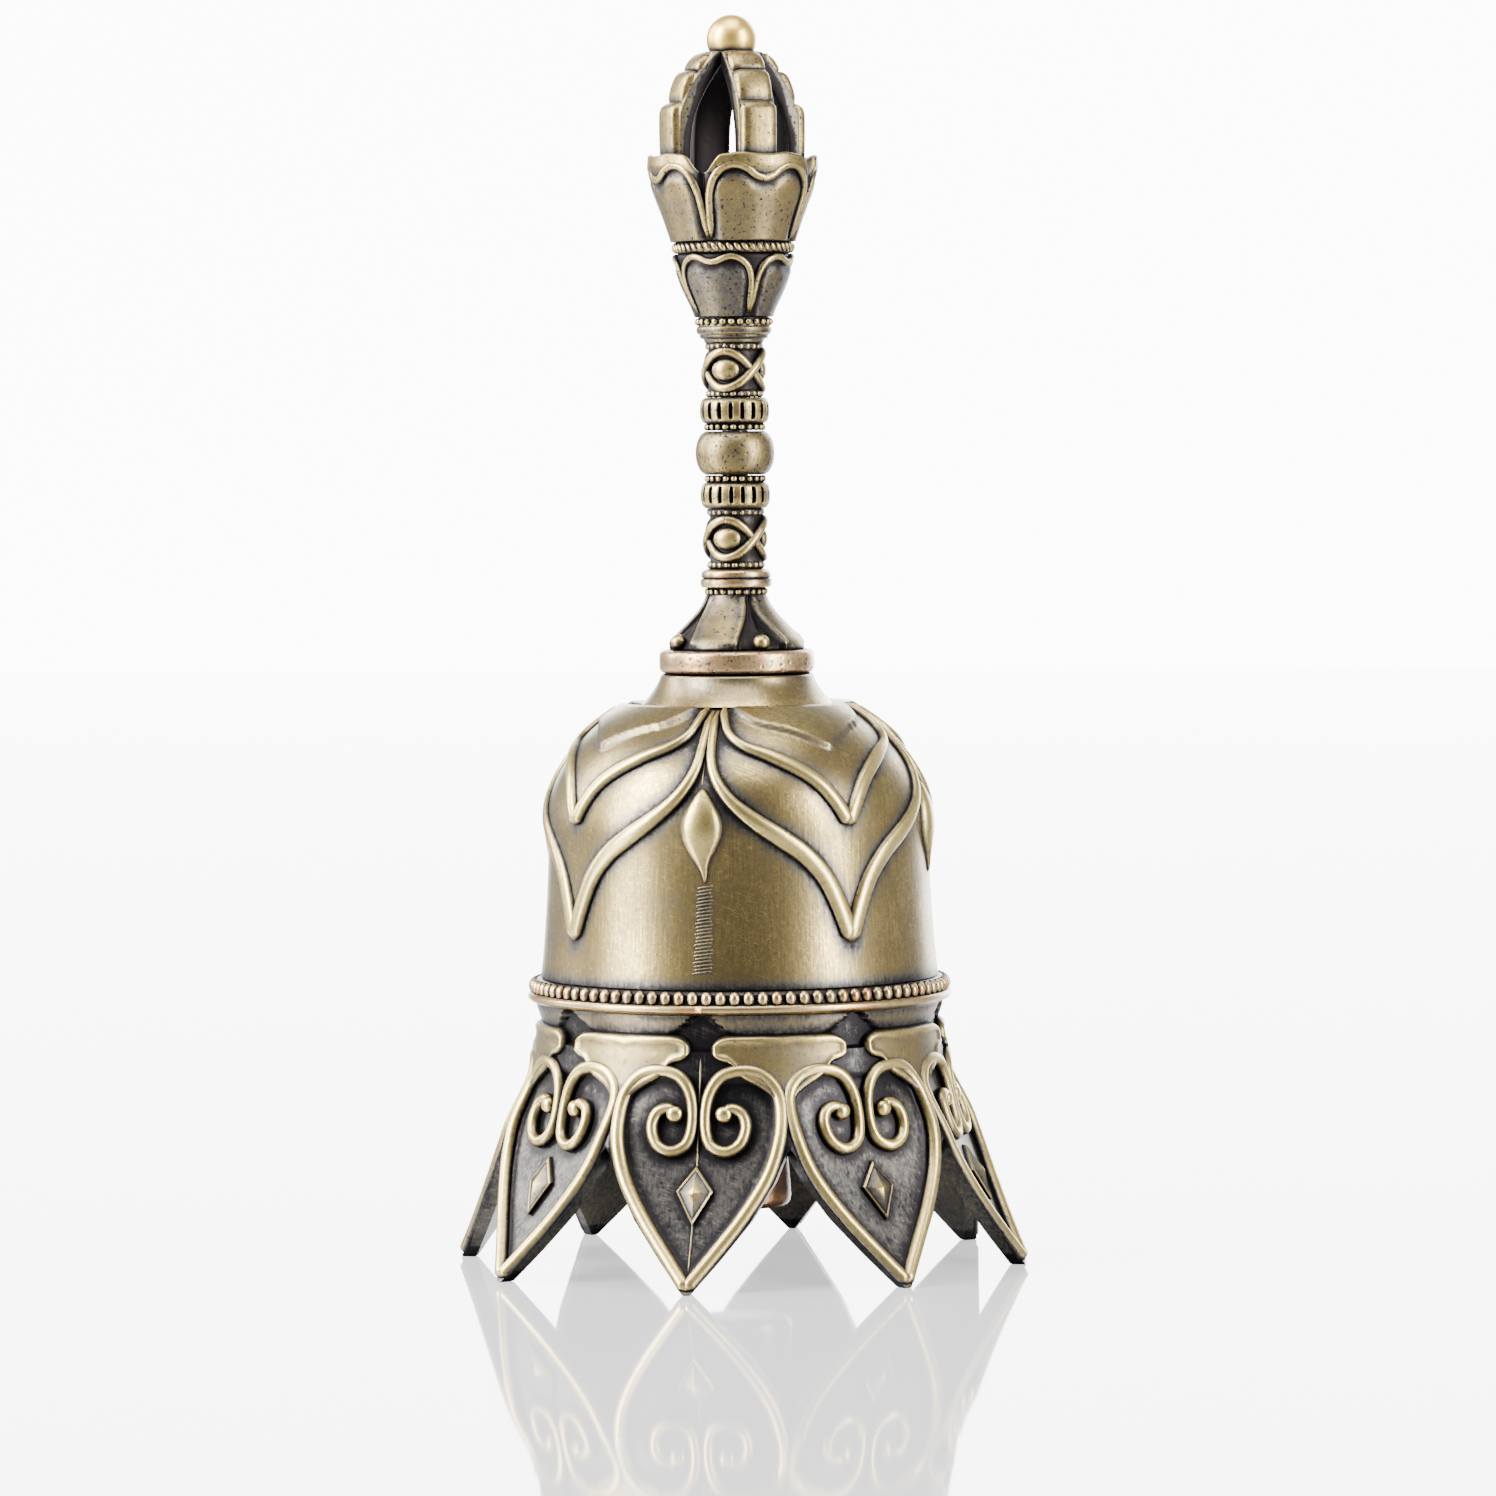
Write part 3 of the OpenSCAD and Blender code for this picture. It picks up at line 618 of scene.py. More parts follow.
CORNERS, PEAK = np.array([(0, 6.1), (1.8, 9.2), (0, 11.5), (-1.8, 9.2)]), np.array([0, 9.1])
loops, worn = [], []
for t, up, wear in ((0.0, -0.36, 0.1), (0.03, 0.1, 0.5), (0.12, 0.22, 0.85), (0.2, 0.14, 0.2),
                    (0.55, 0.45, 0.35), (0.94, 0.8, 0.8), (1.0, 0.82, 0.9)):
    loop = (1 - t) * CORNERS + t * PEAK
    loops.append(on_petal(loop[:, 0], loop[:, 1], up))
    worn += [wear] * 4
pyramid = (np.concatenate(loops), grid_faces(7, 4, ring=True) + [(3, 2, 1, 0)], np.array(worn))
relief = [turned_part(pyramid, 2 * k * SECTOR) for k in range(PETALS)]
hand_over(piece("heart_pyramids", relief, rib_metal, 25), "bell", "bell_metal")


def waist_ground(angle, z):
    """Radius of the waist and skirt's face at an angle from the front petal's middle."""
    away = np.full(np.broadcast(angle, z).shape, 19.0)
    for _ in range(8):
        away = petal_away(away * np.sin(angle), z) / np.cos(angle)
    return away * (1 - smooth(z, 21.6, 22.4)) + WAIST_R * smooth(z, 21.6, 22.4)


PLATE_END = 14.2                                        # degrees; a plate is rounded from here to its end
a = np.radians(19.5) * np.sin(np.linspace(-1, 1, 33) * math.pi / 2)
off = np.abs(np.degrees(a))
end = np.sqrt(np.clip(1 - ((off - PLATE_END) / 5.33).clip(0) ** 2, 0, 1))
upper = 22.05 + 1.45 * end
lower = np.where(np.abs(a) > math.radians(PLATE_END), 22.05 - 1.25 * end,
                 np.interp(off, [0, 2, 4, 7, 10, 12, 13.4, PLATE_END],
                           [15.9, 17.1, 18.0, 18.7, 19.2, 19.7, 20.4, 20.8]))
t = np.linspace(0, 1, 15)[:, None]
z = upper[None] * (1 - t) + lower[None] * t
angle = SECTOR + np.broadcast_to(a[None], z.shape)
rim = np.minimum(np.minimum(t, 1 - t) * (upper - lower)[None], (np.radians(19.6) - np.abs(a))[None] * 19)
ground = np.maximum(waist_ground(a + np.where(a < 0, SECTOR, -SECTOR), z), 19.4 - 0.12 * (z - 21.6))
lip = smooth(rim, 0.0, 0.35) * smooth(rim, 0.85, 0.55)
high = 0.36 * smooth(rim, -0.1, 0.35) + 0.16 * lip + 0.02
worn = (0.2 + 0.32 * smooth(rim, 0.0, 0.4) + 0.4 * lip) * (1 - 0.5 * smooth(z, 20, 17))
plate = slab(spin(ground + high, angle, z), spin(ground - 0.6, angle, z), worn)
plates = [turned_part(plate, 2 * k * SECTOR) for k in range(PETALS)]
hand_over(piece("waist_plates", plates, rib_metal), "bell", "bell_metal")


# ---- Bead rows ----
# Strings of round beads cast in one with the pieces they trim, and the rope ring's slanting strands.
# Beads are set out at even steps round the axis, lifted to their height and leant over where they are
# rope. The band of the bell carries the first row, over a rounded ledge.
def ring_setter():
    """A tree that sets egg-shaped beads round the axis; its inputs are the sizes, in metres."""
    tree = bpy.data.node_groups.new("beads round a ring", "GeometryNodeTree")
    face = tree.interface
    for title, kind in (("Geometry", "Geometry"), ("Beads", "Int"), ("Ring radius", "Float"),
                        ("Height", "Float"), ("Lean", "Float"), ("Bead size", "Vector"),
                        ("Finish", "Material")):
        face.new_socket(title, in_out="INPUT", socket_type="NodeSocket" + kind)
    face.new_socket("Geometry", in_out="OUTPUT", socket_type="NodeSocketGeometry")
    given = tree.nodes.new("NodeGroupInput").outputs
    ring = node(tree, "GeometryNodeMeshCircle",
                {"Vertices": given["Beads"], "Radius": given["Ring radius"]})
    bead = node(tree, "GeometryNodeMeshUVSphere", {"Segments": 8, "Rings": 6, "Radius": 1.0})
    place = node(tree, "GeometryNodeInputPosition").outputs[0]
    aim_out = node(tree, "FunctionNodeAlignRotationToVector", {"Vector": place}, axis="X",
                   pivot_axis="Z")
    lean = node(tree, "ShaderNodeCombineXYZ", {"X": given["Lean"]})
    tilt = node(tree, "FunctionNodeEulerToRotation", {0: lean.outputs[0]})
    both = node(tree, "FunctionNodeRotateRotation", {0: aim_out.outputs[0], 1: tilt.outputs[0]},
                rotation_space="LOCAL")
    set_out = node(tree, "GeometryNodeInstanceOnPoints",
                   {"Points": ring.outputs[0], "Instance": bead.outputs[0], "Rotation": both.outputs[0],
                    "Scale": given["Bead size"]})
    loose = node(tree, "GeometryNodeRealizeInstances", {0: set_out.outputs[0]})
    flat = node(tree, "ShaderNodeVectorMath", {0: place, 1: (1, 1, 0)}, operation="MULTIPLY")
    far = node(tree, "ShaderNodeVectorMath", {0: flat.outputs[0]}, operation="LENGTH")
    thick = node(tree, "ShaderNodeSeparateXYZ", {0: given["Bead size"]})
    past = node(tree, "ShaderNodeMath", {0: far.outputs["Value"], 1: given["Ring radius"]},
                operation="SUBTRACT")
    share = node(tree, "ShaderNodeMath", {0: past.outputs[0], 1: thick.outputs[0]}, operation="DIVIDE")
    worn = remap(tree, share.outputs[0], -0.5, 0.6)     # bright on the outer half of a bead
    keep = node(tree, "GeometryNodeStoreNamedAttribute",
                {"Geometry": loose.outputs[0], "Name": "wear", "Value": worn},
                data_type="FLOAT", domain="POINT")
    height = node(tree, "ShaderNodeCombineXYZ", {"Z": given["Height"]})
    lift = node(tree, "GeometryNodeSetPosition", {"Geometry": keep.outputs[0], "Offset": height.outputs[0]})
    soft = node(tree, "GeometryNodeSetShadeSmooth", {"Geometry": lift.outputs[0]})
    finish = node(tree, "GeometryNodeSetMaterial",
                  {"Geometry": soft.outputs[0], "Material": given["Finish"]})
    end = tree.nodes.new("NodeGroupOutput")
    tree.links.new(finish.outputs[0], end.inputs[0])
    return tree


SETTER = ring_setter()


def bead_row(name, beads, radius, height, size, material, slot, lean=0.0):
    """A row of beads as one plain mesh that rides on the bell; sizes in mm, size is out, along, up."""
    host = bpy.data.objects.new("host", bpy.data.meshes.new("host"))
    scene.collection.objects.link(host)
    setter = host.modifiers.new("beads", "NODES")
    setter.node_group = SETTER
    values = {"Beads": beads, "Ring radius": radius * MM, "Height": height * MM, "Lean": math.radians(lean),
              "Bead size": [s * MM for s in size], "Finish": material}
    for item in SETTER.interface.items_tree:
        if item.in_out == "INPUT" and item.name in values:
            setter[item.identifier] = values[item.name]
    made = bpy.data.meshes.new_from_object(host.evaluated_get(bpy.context.evaluated_depsgraph_get()))
    made.name = name
    bpy.data.objects.remove(host)
    obj = bpy.data.objects.new(name, made)
    scene.collection.objects.link(obj)
    return hand_over(obj, "bell", slot)


pink_metal = aged_metal("pink worn bell metal", (0.016, 0.013, 0.013), (0.17, 0.12, 0.06),
                        (0.62, 0.44, 0.22), brush=0.12, tint=(1.0, 0.74, 0.64, 0.9))
bead_row("band_beads", 94, 19.76, 26.88, (0.6, 0.6, 0.74), pink_metal, "bell_metal")
way = np.linspace(0, 2 * math.pi, 289)
ledge = rib(spin(20.0, way, 25.92), spin(1.0, way, 0.0), 0.82, 0.42, ends=1.0)
hand_over(piece("band_ledge", [ledge], pink_metal), "bell", "bell_metal")


# ---- Base flange ----
# A thick turned washer of coppery brass under the handle, with rounded edges. Its surface is pitted
# and shows pink where the brass is worn.
BORE = 1.3


def lathe(profile, shape=None, cols=96):
    """A turned ring from (radius, height, wear) rows, closed by its bore. shape(angle, radius, z)
    gives a new radius and what it adds to the wear."""
    a = np.linspace(0, 2 * math.pi, cols, endpoint=False)
    points, worn = [], []
    for radius, z, wear in profile:
        r, more = (radius, 0) if shape is None or radius <= BORE else shape(a, radius, z)
        points.append(spin(r, a, z))
        worn.append(np.broadcast_to(wear + more, a.shape))
    points.append(points[0])
    worn.append(worn[0])
    return np.concatenate(points), grid_faces(len(points), cols, ring=True), np.concatenate(worn)


def turning(outline, steps=3, wear=None):
    """A turned profile: the outline's (radius, height) points smoothed, between two ends at the bore."""
    fine = through(outline, steps * len(outline))
    z = fine[:, 1]
    wear = wear or [0.6, 0.6]
    worn = np.interp(np.arange(len(fine)), np.arange(len(wear)) * (len(fine) - 1) / (len(wear) - 1), wear)
    return [(BORE, z[0], 0.1)] + [(r, h, w) for (r, h), w in zip(fine, worn)] + [(BORE, z[-1], 0.1)]


def pits(count, seed, depth, size, low, high):
    """Casting pits: a shape function that sinks small round holes at chosen random places."""
    draw = np.random.default_rng(seed)
    at = np.column_stack([draw.uniform(0, 2 * math.pi, count), draw.uniform(low, high, count),
                          draw.uniform(0.5, 1, count)])

    def shape(angle, r, z):
        turn_by = (angle[:, None] - at[:, 0] + math.pi) % (2 * math.pi) - math.pi
        near = np.hypot(turn_by * r, z - at[:, 1]) / (size * at[:, 2])
        sunk = np.max(np.exp(-near ** 4), axis=1)
        return r - depth * sunk, -0.6 * sunk
    return shape


brass = aged_metal("antique brass", (0.013, 0.011, 0.011), (0.2, 0.146, 0.056), (0.7, 0.52, 0.185),
                   brush=0.12, lie=(1, 1, 0.3), grain=0.36, pitted=0.45, shift=-0.07)
copper_brass = aged_metal("coppery brass", (0.025, 0.017, 0.014), (0.23, 0.152, 0.075), (0.7, 0.48, 0.24),
                          brush=0.16, lie=(0.3, 0.3, 1), tint=(1.0, 0.76, 0.66, 0.85), grain=0.5,
                          shift=0.02, pitted=0.5)
flange = turning([(6.6, 56.84), (7.15, 56.92), (7.42, 57.2), (7.47, 57.6), (7.47, 58.4), (7.4, 58.8),
                  (7.15, 59.02), (6.7, 59.08)], 4, [0.3, 0.7, 0.9, 0.7, 0.7, 0.9, 0.7, 0.4])
ring = lathe(flange, pits(46, 11, 0.1, 0.12, 57.2, 58.9), 360)
hand_over(piece("base_flange_ring", [ring], copper_brass), "bell", "flange_copper", "base_flange")


# ---- Flared base ----
# A cast foot in the shape of four lotus petals that run up into the neck, dark between them, with a
# small ball in the foot of each gap and a bead row round the top.
HANDLE_TURN = math.radians(34)                          # a prong's angle; the upper petals share it
FLARE = [(6.35, 59.1), (6.42, 59.3), (6.3, 59.6), (5.95, 60.15), (5.4, 60.7), (4.82, 61.3), (4.29, 61.9),
         (3.86, 62.4), (3.47, 63.0), (3.14, 63.6), (2.95, 64.1), (2.9, 64.4)]


def from_petal(angle, middle):
    """Angle from the middle of the nearest of four petals."""
    return (angle - middle + QUARTER / 2) % QUARTER - QUARTER / 2


def flare_shape(angle, r, z):
    """The foot's four petals with their rims, and the lower metal between them."""
    off = np.abs(from_petal(angle, HANDLE_TURN + QUARTER / 2))
    gap = math.radians(5 + 17 * float(smooth(64.2 - z, 0.4, 4.6)))
    edge = (QUARTER / 2 - gap - off) * r
    petal = smooth(edge, -0.25, 0.1) if z < 64.3 else 1.0
    crown = 0.3 * np.cos(off * 2) * float(smooth(64.4 - z, 0, 2.5))
    toe = smooth(off, 0.1, 0.5) * float(smooth(59.9 - z, 0, 0.6)) * 0.5
    rim = np.exp(-((edge - 0.35) / 0.22) ** 2) if z < 64.2 else 0
    behind = 0.25 * np.exp(-((QUARTER / 2 - off) * r / 0.35) ** 2) * float(smooth(z, 60.4, 61.4))
    inner = smooth(edge, 0.4, 1.5) * petal
    return (r + crown * petal + 0.12 * rim - 0.55 * (1 - petal) - toe * petal + behind * (1 - petal),
            0.35 * rim + 0.25 * inner - 0.12 - 0.25 * (1 - petal))


def handle_piece(name, parts, node_name, material=brass, sharp=None):
    """One piece of the handle, in place of one CAD node."""
    hand_over(piece(name, parts, material, sharp), "bell", "antique_brass", node_name)


def handle_beads(name, beads, radius, height, size, lean=0.0):
    """A row of beads on the handle."""
    bead_row(name, beads, radius, height, size, brass, "antique_brass", lean)


foot = [lathe(turning(FLARE, 4, [0.3] + [0.45] * 11), flare_shape, 288),
        lathe(turning([(2.75, 64.3), (2.8, 64.6), (2.75, 65.0)]))]
toe_ball = ball((0, -6.05, 59.85), (0.82, 0.78, 0.78))
foot += [turned_part(toe_ball, HANDLE_TURN + k * QUARTER) for k in range(4)]
handle_piece("flared_lotus_base", foot, "flared_base")
handle_beads("base_beads", 24, 2.72, 64.66, (0.36, 0.33, 0.35))


# ---- Lower collar ----
# A turned ring of coppery brass with a line cut round it. It covers the joint of the foot and the knot
# above it on the rod.
collar = turning([(2.95, 65.02), (3.3, 65.1), (3.42, 65.35), (3.42, 65.65), (3.36, 65.86), (3.2, 65.9),
                  (3.2, 65.96), (3.32, 66.02), (3.34, 66.25), (3.28, 66.55), (3.05, 66.74), (2.75, 66.83)],
                 4, [0.3, 0.8, 0.9, 0.8, 0.6, 0, 0, 0.6, 0.8, 0.9, 0.7, 0.3])
handle_piece("lower_collar_ring", [lathe(collar)], "lower_collar", copper_brass)


# ---- Knot sleeves ----
# Two cast sleeves with an endless ribbon wound twice round in waves that cross over and under, a
# round stone shape in each of its three eyes, and a bead row at each end.
KNOT_CORE = 2.5
STONE_ANGLE = math.radians(-9)                          # where the first of the three stones is


def knot_sleeve(low, high, wave):
    """A sleeve between two heights whose ribbon swings up and down by the wave."""
    middle = (low + high) / 2
    core = turning([(2.66, low + 0.02), (2.7, low + 0.35), (2.6, low + 0.66), (KNOT_CORE, low + 0.8),
                    (KNOT_CORE, middle), (KNOT_CORE, high - 0.8), (2.6, high - 0.66),
                    (2.74, high - 0.35), (2.74, high - 0.02)],
                   3, [0.3, 0.3, 0.2, 0.12, 0.12, 0.12, 0.2, 0.3, 0.3])
    round_twice = np.linspace(0, 4 * math.pi, 241)
    away = KNOT_CORE + 0.06 - 0.13 * np.sin(1.5 * round_twice)
    path = spin(away, STONE_ANGLE + round_twice, middle + wave * np.cos(1.5 * round_twice))
    ribbon = rib(path, spin(1.0, STONE_ANGLE + round_twice, 0.0), 0.95, 0.52, ends=1.0)
    stone = ball((0, -2.32, middle), (1.42, 0.76, 1.16), 0.855)
    return [lathe(core), ribbon] + [turned_part(stone, STONE_ANGLE + k * 2 * math.pi / 3) for k in range(3)]


for place, low, high, wave, strings in (("lower", 66.85, 72.65, 1.82, ((2.5, 67.2), (2.47, 72.3))),
                                        ("upper", 83.3, 88.55, 1.78, ((2.5, 83.63), (2.5, 88.2)))):
    handle_piece(f"{place}_knot", knot_sleeve(low, high, wave), f"{place}_knot_sleeve")
    for i, (radius, height) in enumerate(strings, 1):
        handle_beads(f"{place}_knot_beads_{i}", 22, radius, height, (0.32, 0.35, 0.34))


# ---- Fluted rings ----
# A pair of turned rings, one at each end of the grip, with eighteen short slots cut upright round
# the fullest part and a bead row on the side of the grip. The upper is the lower turned over.
FLUTES = 18


def slots(angle, r, z):
    """Cuts the upright slots into the lower ring's fullest part."""
    step = 2 * math.pi / FLUTES
    off = ((angle - math.radians(4) + step / 2) % step - step / 2) * r
    inside = np.exp(-(off / 0.17) ** 4) * np.exp(-((z - 73.95) / 0.72) ** 6)
    return r - 0.6 * inside, -0.9 * inside


for place, bead_height in (("lower", 75.5), ("upper", 80.45)):
    profile = turning([(2.85, 72.66), (3.0, 72.76), (3.2, 73.0), (3.32, 73.4), (3.35, 73.9), (3.32, 74.4),
                       (3.18, 74.85), (2.95, 75.08), (2.7, 75.2), (2.66, 75.4), (2.66, 75.8)], 5,
                      [0.3, 0.6, 0.9, 0.7, 0.6, 0.7, 0.9, 0.6, 0.2, 0.2, 0.2])
    points, faces, worn = lathe(profile, slots, 360)
    if place == "upper":                                # turned over about the middle of the grip
        points = points * (1, 1, -1) + (0, 0, 75.85 + 80.1)
    handle_piece(f"{place}_fluted", [(points, faces, worn)], f"{place}_fluted_ring")
    handle_beads(f"{place}_fluted_beads", 22, 2.68, bead_height, (0.33, 0.35, 0.34))


# ---- Grip ball ----
# A plain turned ball of brass, slightly flattened, where finger and thumb hold the bell. It is
# polished by the hand: fine pits and no ornament.
GRIP = [(2.6 + 1.21 * math.sqrt(max(0, 1 - (t / 1.02) ** 2)), 77.975 + 2.1 * t)
        for t in np.linspace(-1, 1, 17)]
grip = lathe(turning(GRIP, 3), pits(140, 9, 0.05, 0.1, 76, 80), 288)
handle_piece("grip", [grip], "grip_ball")


# ---- Upper collar ----
# A stepped brass collar that widens from the knot to the lower lotus cup. It is turned, and a bead row
# stands round its top step.
collar = turning([(2.8, 88.55), (2.86, 88.66), (2.9, 88.8), (2.95, 88.9), (3.2, 88.98), (3.3, 89.15),
                  (3.3, 89.3), (3.5, 89.42), (3.6, 89.65), (3.6, 89.95), (3.5, 90.1), (3.45, 90.2),
                  (3.45, 90.98)], 4, [0.3, 0.7, 0.6, 0.2, 0.6, 0.9, 0.3, 0.5, 0.9, 0.8, 0.3, 0.2, 0.2])
handle_piece("upper_collar_ring", [lathe(collar)], "upper_collar")
handle_beads("upper_collar_beads", 26, 3.42, 90.55, (0.4, 0.38, 0.36))


# ---- Lower lotus cup ----
# A cast cup of four petals, each with a raised rim round a full panel. Between the petals the metal
# lies lower and has kept its dark finish.
def wave_line(outline):
    """Height of a petal's rim at an angle from its middle, from (degrees, height) points."""
    line = through(outline, 80)
    return lambda off: np.interp(off, np.radians(line[:, 0]), line[:, 1])


LOW_CUP = [(3.66, 91.02), (3.8, 91.4), (4.05, 92.0), (4.34, 92.6), (4.62, 93.2), (4.92, 93.85),
           (5.16, 94.5), (5.42, 95.3), (5.62, 96.1), (5.72, 96.7)]
LOW_RIM = [(0, 96.2), (6, 96.3), (14, 96.62), (22, 96.7), (30, 96.4), (36, 95.9), (40, 95.2), (42.2, 94.2),
           (43.2, 92.9), (43.6, 91.4)]
low_line = wave_line(LOW_RIM)


def cup_radius(profile, z):
    """A cup's radius at a height."""
    line = np.array(profile)
    return np.interp(z, line[:, 1], line[:, 0])


def petal_rims(profile, outline, middle, width, high, up=0.0):
    """The raised rims of a cup's four petals."""
    half = through(outline, 70)
    parts = []
    for k in range(4):
        line = np.concatenate([half[::-1] * (-1, 1), half[1:]])
        angle = middle + k * QUARTER + np.radians(line[:, 0])
        r = cup_radius(profile, line[:, 1]) + up
        parts.append(rib(spin(r, angle, line[:, 1]), spin(0.96, angle, -0.28), width, high))
    return parts


def low_petals(angle, r, z):
    """The lower cup's full panels inside the rims, and the lower metal outside them."""
    off = np.abs(from_petal(angle, HANDLE_TURN + QUARTER / 2))
    within = smooth(low_line(off) - z, -0.1, 0.15)
    full = smooth(low_line(off) - z, 0.2, 1.6) * smooth(math.radians(43) - off, 0.0, 0.22)
    return r - 0.3 * (1 - within) - 0.18 * within + 0.3 * full, -0.35 * (1 - within) - 0.36 + 0.42 * full


cup_rows = turning(LOW_CUP, 6, [0.35, 0.35])[:-1] + [(5.62, 97.1, 0.1), (BORE, 97.1, 0.1)]
cup = [lathe(cup_rows, low_petals, 240)]
cup += petal_rims(LOW_CUP, LOW_RIM, HANDLE_TURN + QUARTER / 2, 0.7, 0.34, -0.16)
handle_piece("lower_lotus", cup, "lower_lotus_cup")


# ---- Rope ring ----
# A brass ring cast as twisted rope, which parts the two cups. A plain core has slanting strands set
# round it.
core = turning([(5.55, 97.12), (5.66, 97.3), (5.7, 97.65), (5.66, 98.0), (5.55, 98.2)], 4)
handle_piece("rope_core", [lathe(core)], "rope_ring")
handle_beads("rope_strands", 48, 5.55, 97.65, (0.4, 0.3, 0.58), lean=38)


# ---- Upper lotus cup ----
# The larger cup of four petals, with rims like those below. Their tips curl outwards and dip in the
# middle, and a notch parts each petal from the next. The prongs stand on its floor.
UP_CUP = [(5.88, 98.22), (6.02, 98.7), (6.26, 99.4), (6.52, 100.2), (6.82, 101.0), (7.12, 101.8),
          (7.4, 102.5), (7.64, 103.2), (7.82, 103.9), (7.92, 104.6), (7.95, 105.4), (7.88, 106.4)]
UP_RIM = [(0, 104.1), (6, 104.35), (12, 104.95), (19, 105.35), (26, 105.3), (32, 104.85), (37, 104.0),
          (40.5, 102.7), (42, 101.2), (42.8, 99.8), (43.2, 98.5)]
up_line = wave_line(UP_RIM)
CUP_FOOT, CUP_FLOOR = 98.22, 104.4


def up_top(off):
    """Height of the cup's edge at an angle from a petal's middle."""
    d = np.degrees(off)
    return 106.25 + 0.2 * np.exp(-((d - 17) / 9) ** 2) - 1.75 * smooth(d, 30, 43.5)


angle = np.linspace(0, 2 * math.pi, 288, endpoint=False)
off = np.abs(from_petal(angle, HANDLE_TURN))
rows, worn = [spin(BORE, angle, CUP_FOOT)], [np.full(angle.shape, 0.1)]
for t in np.linspace(0, 1, 46):
    z = CUP_FOOT + (up_top(off) - CUP_FOOT) * t
    r = cup_radius(UP_CUP, z)
    within = smooth(up_line(off) - z, -0.1, 0.15)
    full = smooth(up_line(off) - z, 0.2, 1.8) * smooth(math.radians(43) - off, 0.0, 0.2)
    beside = smooth(off, math.radians(42.6), math.radians(43.6))
    curl = (1 - within) * smooth(z, 103.9, 105.6) * (1 - beside)
    r = r - 0.2 * within + 0.35 * full + 0.28 * curl - 0.4 * beside * smooth(z, 99, 101)
    rows.append(spin(r, angle, z))
    worn.append(0.16 + 0.42 * full + 0.6 * curl - 0.3 * beside)
for inset, drop in ((0.25, -0.12), (0.6, -0.02), (0.95, 0.3)):
    top = up_top(off)
    r = cup_radius(UP_CUP, top) + 0.28 * (1 - smooth(off, 0.6, 0.75)) - inset
    rows.append(spin(r, angle, top - drop))
    worn.append(np.full(angle.shape, 0.8 - inset * 0.5))
for r, z in ((6.85, CUP_FLOOR + 0.35), (6.7, CUP_FLOOR), (BORE, CUP_FLOOR)):
    rows.append(spin(r, angle, z))
    worn.append(np.full(angle.shape, 0.0))
rows.append(rows[0])
worn.append(worn[0])
cup = [(np.concatenate(rows), grid_faces(len(rows), len(angle), ring=True), np.concatenate(worn))]
cup += petal_rims(UP_CUP, UP_RIM, HANDLE_TURN, 0.88, 0.44, -0.14)
handle_piece("upper_lotus", cup, "upper_lotus_cup")


# ---- Prongs ----
# Four cast prongs stand in the cup and lean together under the ball. Each is a curved blade, black
# inside the cage, with three blocks down its back like the joints of a finger.
BLADE_BACK = [(6.35, 104.42), (6.35, 109.6), (6.0, 111.3), (5.1, 113.2), (3.9, 114.8), (2.9, 115.9),
              (2.5, 116.4)]
BLADE_FRONT = [(1.3, 116.4), (1.5, 115.4), (2.3, 114.2), (3.4, 112.5), (4.4, 110.4), (4.9, 108),
               (5.0, 104.42)]
BLOCKS = [[(6.95, 104.42), (7.1, 107.5), (7.12, 110.0), (7.05, 110.7), (6.8, 111.2), (6.3, 111.4),
           (5.4, 111.2), (5.4, 104.42)],
          [(5.9, 110.8), (6.1, 111.9), (5.95, 112.8), (5.6, 113.7), (5.3, 114.2), (4.85, 114.5),
           (4.2, 114.5), (3.7, 114.1), (4.6, 111)],
          [(4.1, 113.9), (4.45, 114.7), (4.15, 115.4), (3.65, 115.95), (3.1, 116.25), (2.5, 116.3),
           (2.0, 116.0), (3.2, 114.1)]]


def bar(outline, half_width, edge):
    """A closed bar with the outline (radius, height), its edges rounded over by edge mm. Its third
    value is how far out each point stands."""
    p = np.array(outline, float)
    if np.sum(p[:, 0] * np.roll(p[:, 1], -1) - np.roll(p[:, 0], -1) * p[:, 1]) < 0:
        p = p[::-1]
    d = np.roll(p, -1, 0) - np.roll(p, 1, 0)
    inward = np.column_stack([-d[:, 1], d[:, 0]]) / np.linalg.norm(d, axis=1)[:, None]
    steps = [(1.0, 1.0), (0.98, 0.66), (0.92, 0.36), (0.8, 0.14), (0.55, 0.02), (0.2, 0.0)]
    rings = []
    for share, inset in steps + [(-s, i) for s, i in steps[::-1]]:
        q = p + inward * inset * edge
        rings.append(np.column_stack([np.full(len(q), share * half_width), -q[:, 0], q[:, 1]]))
    n, m = len(rings), len(p)
    faces = grid_faces(n, m, ring=True) + [tuple(range(m)), tuple(range((n - 1) * m, n * m))[::-1]]
    points = np.concatenate(rings)
    return points, faces, -points[:, 1]


points, faces, out = bar(through(BLADE_BACK, 18).tolist() + through(BLADE_FRONT, 14).tolist(), 1.92, 0.3)
back = np.interp(points[:, 2], [104, 109.6, 111.3, 113.2, 114.8, 116.4], [6.35, 6.35, 6.0, 5.1, 3.9, 2.5])
prong = [(points, faces, np.interp(out - back, [-1.0, -0.2], [-0.6, 0.6]))]
for outline in BLOCKS:
    points, faces, _ = bar(through(outline + outline[:1], 40)[:-1].tolist(), 1.86, 0.95)
    prong.append((points, faces, np.full(len(points), 0.7)))
for k in range(4):
    parts = [turned_part(part, HANDLE_TURN + k * QUARTER) for part in prong]
    handle_piece(f"prong_{k + 1}", parts, f"vajra_prong_{k + 1}", sharp=50)


